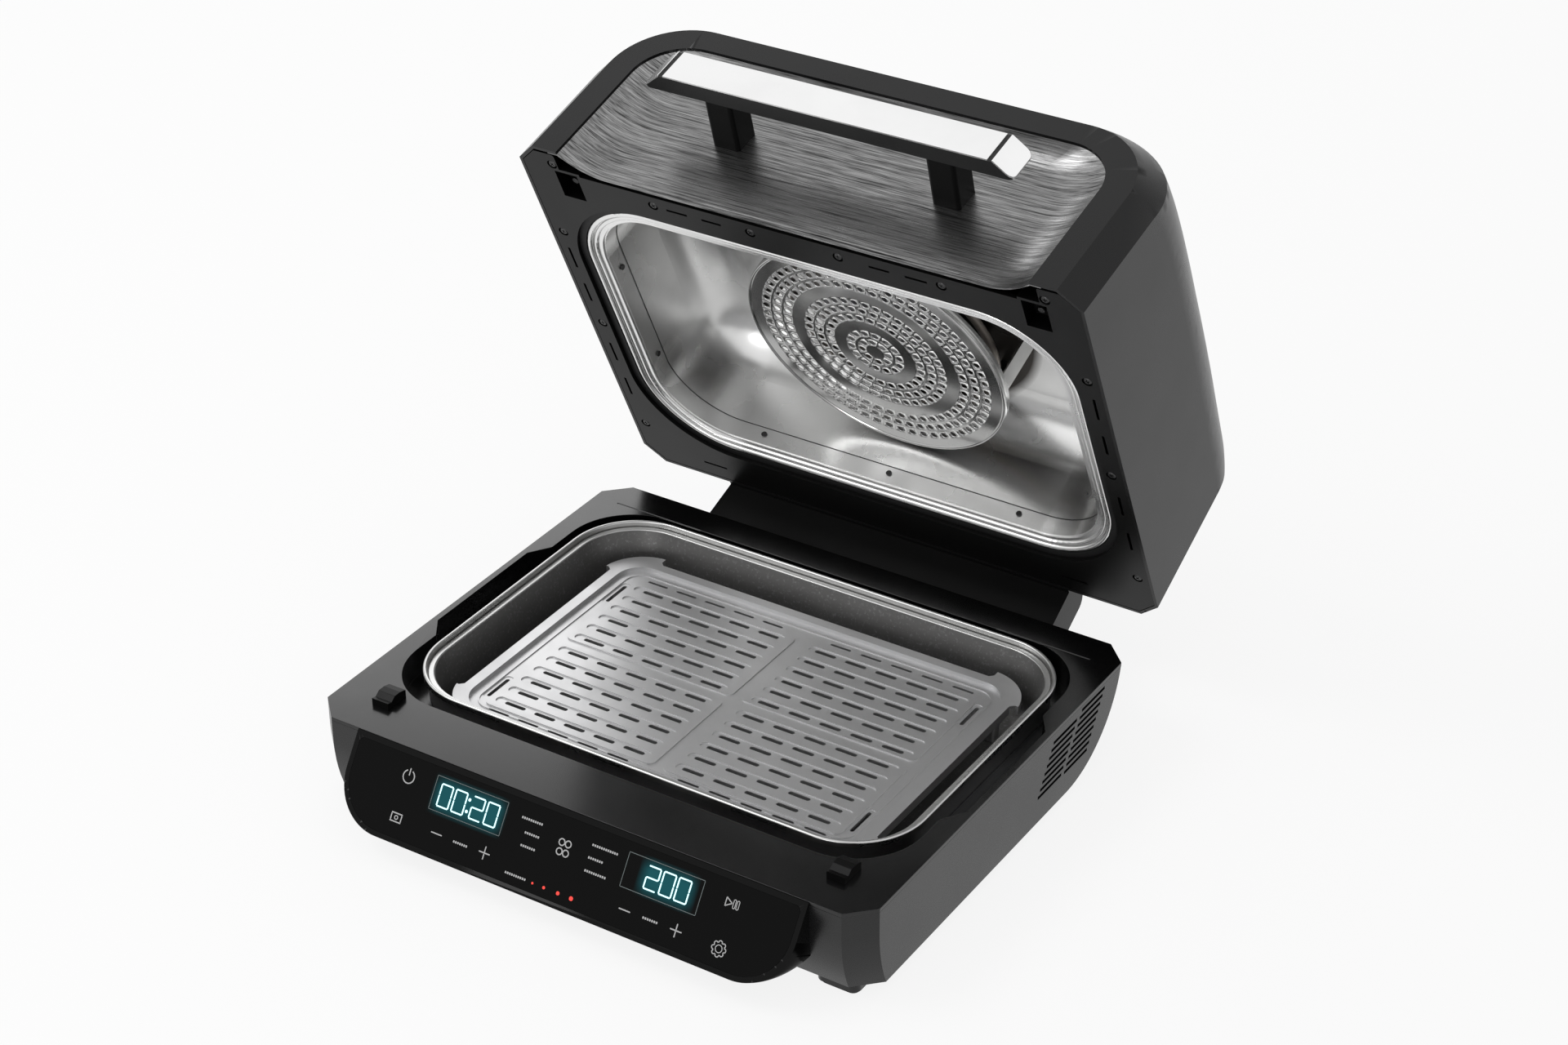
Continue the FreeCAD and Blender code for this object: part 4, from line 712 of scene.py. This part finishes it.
# Signs, each drawn round its middle or middles, in mm and degrees
# A bar is its x, down, width, height, corner and turn
# An arc is its x, down, radius, line, start, sweep and steps
signs = {
    "less": {
        "middles": [(-97.8, 48.4), (57.4, 49.1)],
        "bars": [(0, 0, 9.2, 0.85, 0.4, 0)],
        "arcs": [],
    },
    "more": {
        "middles": [(-57.4, 48.4), (98.0, 49.0)],
        "bars": [(0, 0, 9.2, 0.85, 0.4, 0), (0, -2.55, 0.85, 4.1, 0.3, 0),
                 (0, 2.55, 0.85, 4.1, 0.3, 0)],
        "arcs": [],
    },
    "onAndOff": {
        "middles": [(-132.3, 19.0)],
        "bars": [(0, -3.4, 0.85, 5.4, 0.4, 0)],
        "arcs": [(0, 0, 4.6, 0.85, 116, 308, 26)],
    },
    "preheat": {
        "middles": [(-132.4, 48.3)],
        "bars": [(0, -2.9, 9.4, 0.85, 0.4, 0), (0, 2.9, 9.4, 0.85, 0.4, 0),
                 (-4.2, 0, 0.85, 4.6, 0.2, 0), (4.2, 0, 0.85, 4.6, 0.2, 0)],
        "arcs": [(0, 0, 1.3, 0.7, 0, 360, 14)],
    },
    "cookingMode": {
        "middles": [(-2.55, 22.3), (-2.55, 28.7), (2.55, 22.3), (2.55, 28.7)],
        "bars": [],
        "arcs": [(0, 0, 2.25, 0.85, 0, 360, 18)],
    },
    "start": {
        "middles": [(129.0, 19.0)],
        "bars": [(0, -1.4, 6.1, 0.7, 0.3, -31), (0, 1.4, 6.1, 0.7, 0.3, 31),
                 (-2.5, 0, 0.7, 6.2, 0.3, 0)],
        "arcs": [],
    },
    "pause": {
        "middles": [(133.0, 19.0), (135.6, 19.0)],
        "bars": [(-0.85, 0, 0.55, 4.2, 0, 0), (0.85, 0, 0.55, 4.2, 0, 0)],
        "arcs": [(0, -2.1, 0.85, 0.55, 0, 180, 8), (0, 2.1, 0.85, 0.55, 180, 180, 8)],
    },
}
settingsWheel = {
    "middle": (131.6, 49.6),
    "lobes": 8,
    "reach": 4.1,            # of the lobes' own middles
    "lobe": (1.35, 0.7),     # radius and line
    "lobeSweep": 210,
    "lobeSteps": 10,
    "hub": (2.5, 0.6),
    "hubSteps": 18,
}
heatDots = {
    "dots": [(-15.0, 0.8), (-5.7, 1.05), (5.8, 1.3), (16.6, 1.5)],     # x and radius
    "down": 55.2,
    "round": 0.85,           # corner, as a share of the radius
}


def drawLegends(marks):
    thick = panelPrint["thick"]
    step = legends["step"]
    for x, down, wide in legends["rows"]:
        count = round(wide / step)
        for index in range(count):
            block = flatBar(step * legends["filled"], legends["high"], legends["corner"], thick, 1)
            blend(marks, block, at(x + (index - (count - 1) / 2) * step, down))


def drawSign(marks, sign):
    thick = panelPrint["thick"]
    for middleX, middleDown in sign["middles"]:
        for x, down, wide, high, corner, turn in sign["bars"]:
            bar = flatBar(wide, high, corner, thick, 2)
            blend(marks, bar, at(middleX + x, middleDown + down, turn))
        for x, down, radius, line, start, sweep, steps in sign["arcs"]:
            arc = flatArc(radius, line, thick, start, sweep, steps)
            blend(marks, arc, at(middleX + x, middleDown + down))


def drawSettingsWheel(marks):
    thick = panelPrint["thick"]
    middleX, middleDown = settingsWheel["middle"]
    radius, line = settingsWheel["lobe"]
    sweep = settingsWheel["lobeSweep"]
    for lobe in range(settingsWheel["lobes"]):
        turn = lobe * 360 / settingsWheel["lobes"]
        x = middleX + settingsWheel["reach"] * math.cos(math.radians(turn))
        down = middleDown - settingsWheel["reach"] * math.sin(math.radians(turn))
        arc = flatArc(radius, line, thick, turn - sweep / 2, sweep, settingsWheel["lobeSteps"])
        blend(marks, arc, at(x, down))
    hubRadius, hubLine = settingsWheel["hub"]
    hub = flatArc(hubRadius, hubLine, thick, 0, 360, settingsWheel["hubSteps"])
    blend(marks, hub, at(middleX, middleDown))


def buildPanelSigns():
    marks = bmesh.new()
    drawLegends(marks)
    for sign in signs.values():
        drawSign(marks, sign)
    drawSettingsWheel(marks)
    addPiece("panel_signs", marks, panelSpace, "base", "legend")


def buildHeatDots():
    dots = bmesh.new()
    for x, radius in heatDots["dots"]:
        dot = flatBar(radius * 2, radius * 2, radius * heatDots["round"], panelPrint["thick"], 5)
        blend(dots, dot, at(x, heatDots["down"]))
    addPiece("heat_level_dots", dots, panelSpace, "base", "heatDot")


buildDisplays()
buildPanelSigns()
buildHeatDots()
print("panel drawn")


# Fan cover: rings of round holes pressed in a disc with a rolled rim
coverHoles = {
    "centre": (0.0, 197.0),
    "height": 43.5,
    "thick": 0.8,
    # radius and number of holes of each ring
    "rings": [(11.0, 8), (20.0, 14), (37.0, 26), (46.0, 32), (54.5, 38), (72.0, 46), (81.0, 52),
              (90.0, 56)],
    "holeRadius": 2.6,
    "holeSides": 16,
    "band": 3.9,             # half the width of the sheet that a ring takes
    "slack": 0.3,            # by which a loop's points may miss its radius
    "cellMerge": 0.01,       # between doubled points of neighbouring cells, and of rings
    "ringMerge": 0.001,
    "rimRadius": 105.0,
    # distance in from the rim and height of each step of its roll
    "roll": [(2.6, 0.0), (2.2, -0.35), (1.8, -0.8), (1.2, -1.0), (0.6, -0.85), (0.15, -0.4),
             (0.0, 0.2), (0.0, 6.0)],
    "smooth": 40,            # degrees between faces that still look like one
}


def holeBand(radius, count):
    # One ring of holes: a cell round one hole, repeated by a spin
    cell = bmesh.new()
    bmesh.ops.create_circle(cell, segments=coverHoles["holeSides"], radius=coverHoles["holeRadius"])
    bmesh.ops.translate(cell, vec=(radius, 0, 0), verts=cell.verts)
    grown = bmesh.ops.extrude_edge_only(cell, edges=cell.edges[:])
    half = math.pi / count
    for vert in newVerts(grown):
        angle = math.atan2(vert.co.y, vert.co.x - radius)
        reach = max(abs(math.cos(angle)), abs(math.sin(angle)))
        ahead = radius + coverHoles["band"] * math.cos(angle) / reach
        turn = half * math.sin(angle) / reach
        vert.co = (ahead * math.cos(turn), ahead * math.sin(turn), 0)
    bmesh.ops.spin(cell, geom=cell.verts[:] + cell.edges[:] + cell.faces[:], cent=(0, 0, 0), axis=(0, 0, 1),
                   angle=math.tau * (count - 1) / count, steps=count - 1, use_duplicate=True)
    bmesh.ops.remove_doubles(cell, verts=cell.verts, dist=coverHoles["cellMerge"])
    return cell


def loopNear(form, radius):
    edges = []
    for edge in form.edges:
        misses = [abs(vert.co.xy.length - radius) for vert in edge.verts]
        if edge.is_boundary and max(misses) < coverHoles["slack"]:
            edges.append(edge)
    return edges


def buildFanCover():
    disc = bmesh.new()
    band = coverHoles["band"]
    for radius, count in coverHoles["rings"]:
        blend(disc, holeBand(radius, count))
    bmesh.ops.remove_doubles(disc, verts=disc.verts, dist=coverHoles["ringMerge"])
    radii = [radius for radius, count in coverHoles["rings"]]
    for inner, outer in zip(radii, radii[1:]):
        bmesh.ops.bridge_loops(disc, edges=loopNear(disc, inner + band) + loopNear(disc, outer - band))
    bmesh.ops.holes_fill(disc, edges=loopNear(disc, radii[0] - band), sides=0)
    loop = loopNear(disc, radii[-1] + band)
    for inward, rise in coverHoles["roll"]:
        loop = growLoop(disc, loop, coverHoles["rimRadius"] - inward, rise)
    bmesh.ops.recalc_face_normals(disc, faces=disc.faces)
    x, y = coverHoles["centre"]
    place = lidSpace @ Matrix.Translation((x, y, coverHoles["height"]))
    piece = addPiece("perforated_cover", disc, place, "lid", "coverSteel",
                     coverHoles["smooth"])
    sheet = piece.modifiers.new("sheet", "SOLIDIFY")
    sheet.thickness = coverHoles["thick"] / 1000
    sheet.offset = -1
    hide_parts("fan_cover")


buildFanCover()
print("fan cover made")


# Skirt of the dome: a thin dark ring along the sheet's upper edge, all round, is a painted shadow line
skirtShadowLine = {
    "halfWide": 185.9,
    "front": 67.1,
    "back": 306.9,
    "corner": 54.9,
    "cornerSegments": 20,
    "height": 21.35,
    "high": 0.7,
    "proud": 0.25,
}


def buildSkirtShadowLine():
    deep = skirtShadowLine["back"] - skirtShadowLine["front"]
    form = rectangle(skirtShadowLine["halfWide"] * 2, deep, skirtShadowLine["corner"], skirtShadowLine["cornerSegments"])
    middle = form.faces[:]
    bmesh.ops.inset_region(form, faces=middle, thickness=skirtShadowLine["proud"], use_boundary=True,
                           use_even_offset=True)
    bmesh.ops.delete(form, geom=middle, context="FACES")
    thicken(form, skirtShadowLine["high"])
    centre = (skirtShadowLine["front"] + skirtShadowLine["back"]) / 2
    place = lidSpace @ Matrix.Translation((0, centre, skirtShadowLine["height"]))
    addPiece("skirt_shadow_line", form, place, "lid", "shadowLine")


buildSkirtShadowLine()
print("skirt edge made")


# Screws with a cross recess, in place of the plain CAD ones
screwHead = {
    "radius": 3.4,
    "high": 1.4,
    "flat": 0.72,            # share of the radius where the flat face ends
    "shoulder": 0.93,        # share of it where the dome ends
    "dome": 0.45,
    "rounding": 0.25,
    "arm": 1.9,
    "slot": 0.75,
    "recess": 0.8,
    "shank": 1.5,            # radius
    "smooth": 30,
}


def crossHead(length, tall):
    # The face is at z 0 and looks towards -z, with the shank above it
    radius = screwHead["radius"]
    shank = screwHead["shank"]
    high = screwHead["high"] * tall
    halfSlot = screwHead["slot"] / 2
    form = bmesh.new()
    # Of a grid of nine faces, the inner lines become the slots' sides and the outer ones their ends
    bmesh.ops.create_grid(form, x_segments=3, y_segments=3, size=1.5)
    for vert in form.verts:
        for axis in (0, 1):
            reach = screwHead["arm"] if abs(vert.co[axis]) > 1 else halfSlot
            vert.co[axis] = math.copysign(reach, vert.co[axis])
    corners = [face for face in form.faces if min(map(abs, face.calc_center_median().xy)) > halfSlot]
    bmesh.ops.delete(form, geom=corners, context="FACES")
    cross = form.faces[:]
    loop = [edge for edge in form.edges if edge.is_boundary]
    outline = [
        (radius * screwHead["flat"], 0.0),
        (radius * screwHead["shoulder"], screwHead["dome"]),
        (radius, screwHead["dome"] + screwHead["rounding"]),
        (radius, high),
        (shank, high),
        (shank, high + length),
    ]
    for reach, rise in outline:
        loop = growLoop(form, loop, reach, rise)
    bmesh.ops.holes_fill(form, edges=loop, sides=0)
    sunk = bmesh.ops.extrude_face_region(form, geom=cross)
    bmesh.ops.delete(form, geom=cross, context="FACES_ONLY")
    bmesh.ops.translate(form, vec=(0, 0, screwHead["recess"]), verts=newVerts(sunk))
    bmesh.ops.recalc_face_normals(form, faces=form.faces)
    return form


def separateSolids(name):
    # The points of each separate solid of a CAD node, always in the same order
    form = bmesh.new()
    form.from_mesh(nodes[name].data)
    bmesh.ops.remove_doubles(form, verts=form.verts, dist=edgeStyle["mergeWithin"])
    seen = set()
    solids = []
    for first in form.verts:
        if first in seen:
            continue
        seen.add(first)
        stack = [first]
        solid = []
        while stack:
            vert = stack.pop()
            solid.append(vert.co.copy())
            for edge in vert.link_edges:
                other = edge.other_vert(vert)
                if other not in seen:
                    seen.add(other)
                    stack.append(other)
        solids.append(solid)
    form.free()
    return solids


def crossScrews(name, space, tall, turn):
    # A screw with a cross recess for each of a node's solids, each turned a little further
    screws = bmesh.new()
    back = space.inverted()
    for index, solid in enumerate(separateSolids(name)):
        points = [back @ point for point in solid]
        lowest = [min(point[axis] for point in points) for axis in range(3)]
        highest = [max(point[axis] for point in points) for axis in range(3)]
        x = (lowest[0] + highest[0]) / 2
        y = (lowest[1] + highest[1]) / 2
        length = highest[2] - lowest[2] - screwHead["high"] * tall
        turned = Matrix.Rotation(math.radians(turn * index), 4, "Z")
        blend(screws, crossHead(length, tall), Matrix.Translation((x, y, lowest[2])) @ turned)
    return screws


def buildRimScrews():
    screws = crossScrews("rim_screws", lidSpace, tall=1.0, turn=37.0)
    piece = addPiece("rim_cross_screws", screws, lidSpace, "lid", "darkScrew",
                     screwHead["smooth"])
    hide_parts("rim_screws")


def buildBaseScrews():
    screws = crossScrews("base_plate_screws", deckSpace, tall=1.28, turn=25.0)
    piece = addPiece("base_cross_screws", screws, deckSpace, "base", "screwSteel",
                     screwHead["smooth"])
    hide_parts("base_plate_screws")


buildRimScrews()
buildBaseScrews()
print("screws made")


# Stage, camera and lights
def seenRays(tree):
    # 1 for what the camera sees, straight, in a reflection or through something clear
    path = tree.nodes.new("ShaderNodeLightPath")
    shown = mathNode(tree, "MAXIMUM", path.outputs["Is Camera Ray"], path.outputs["Is Glossy Ray"])
    return mathNode(tree, "MAXIMUM", shown, path.outputs["Is Transmission Ray"])


floorLook = {
    "size": 30.0,                     # metres
    "colour": (0.90, 0.90, 0.90),
    "rough": 0.9,
    "specular": 0.1,
    "white": 0.86,                    # share of plain white in what the camera and reflections see
}


def buildStage():
    form = bmesh.new()
    bmesh.ops.create_grid(form, x_segments=1, y_segments=1, size=floorLook["size"] / 2)
    mesh = bpy.data.meshes.new("floor")
    form.to_mesh(mesh)
    form.free()
    material, tree, shader = startMaterial("pale floor", floorLook["colour"], 0.0, floorLook["rough"],
                                           floorLook["specular"])
    # The rest of what the camera sees is the lit floor, so part of the object's shadow stays on it
    white = tree.nodes.new("ShaderNodeEmission")
    white.inputs["Color"].default_value = (1, 1, 1, 1)
    white.inputs["Strength"].default_value = 1.0
    shown = mathNode(tree, "MULTIPLY", seenRays(tree), floorLook["white"])
    mixShaders(tree, shown, shader, white, tree.nodes["Material Output"])
    mesh.materials.append(material)
    piece = addObject("floor", mesh)


# The photograph's view: place in mm from the middle of the deck's top, angles in degrees, lens in mm
photoView = {
    "place": (1065.7, -1586.6, 1289.7),
    "yaw": 32.67,
    "pitch": 31.274,
    "roll": -0.379,
    "lens": 75.195,
    "sensor": 36.0,
    "farthest": 100,         # metres
}


def buildCamera():
    data = bpy.data.cameras.new("photo view")
    data.sensor_width = photoView["sensor"]
    data.lens = photoView["lens"]
    data.clip_end = photoView["farthest"]
    camera = addObject("photo view", data)
    spot = Vector(photoView["place"]) + Vector((0, layout["deckShift"], layout["deckTop"]))
    camera.matrix_world = (
        Matrix.Translation(spot / 1000)
        @ Matrix.Rotation(math.radians(photoView["yaw"]), 4, "Z")
        @ Matrix.Rotation(math.radians(90 - photoView["pitch"]), 4, "X")
        @ Matrix.Rotation(math.radians(photoView["roll"]), 4, "Z"))
    bpy.context.scene.camera = camera


studio = {
    "world": 0.62,
    # name, place, aim, width and height in metres, watts
    "lamps": [
        ("key softbox", (-1.3, -0.9, 2.0), (0, 0, 0.15), 1.2, 1.0, 17),
        ("dome softbox", (0.1, -2.2, 0.25), (0, 0.1, 0.28), 0.9, 0.35, 7),
        ("back left softbox", (-1.5, 1.8, 1.3), (-0.15, -0.1, 0.1), 1.2, 0.8, 5.5),
    ],
}


def buildWorld():
    # Soft light all round, which the camera and reflections see as white
    world = bpy.data.worlds.new("studio")
    world.use_nodes = True
    bpy.context.scene.world = world
    tree = world.node_tree
    plain = tree.nodes["Background"]
    seen = tree.nodes.new("ShaderNodeBackground")
    for node, strength in ((plain, studio["world"]), (seen, 1.0)):
        node.inputs["Color"].default_value = (1, 1, 1, 1)
        node.inputs["Strength"].default_value = strength
    mixShaders(tree, seenRays(tree), plain, seen, tree.nodes["World Output"])


def buildLamps():
    for name, place, aim, wide, high, power in studio["lamps"]:
        data = bpy.data.lights.new(name, "AREA")
        data.shape = "RECTANGLE"
        data.size = wide
        data.size_y = high
        data.energy = power
        lamp = addObject(name, data)
        lamp.location = place
        lamp.rotation_euler = (Vector(aim) - Vector(place)).to_track_quat("-Z", "Y").to_euler()


buildStage()
buildCamera()
buildWorld()
buildLamps()
bpy.context.scene.view_settings.view_transform = "Standard"
print("stage, camera and lights set")
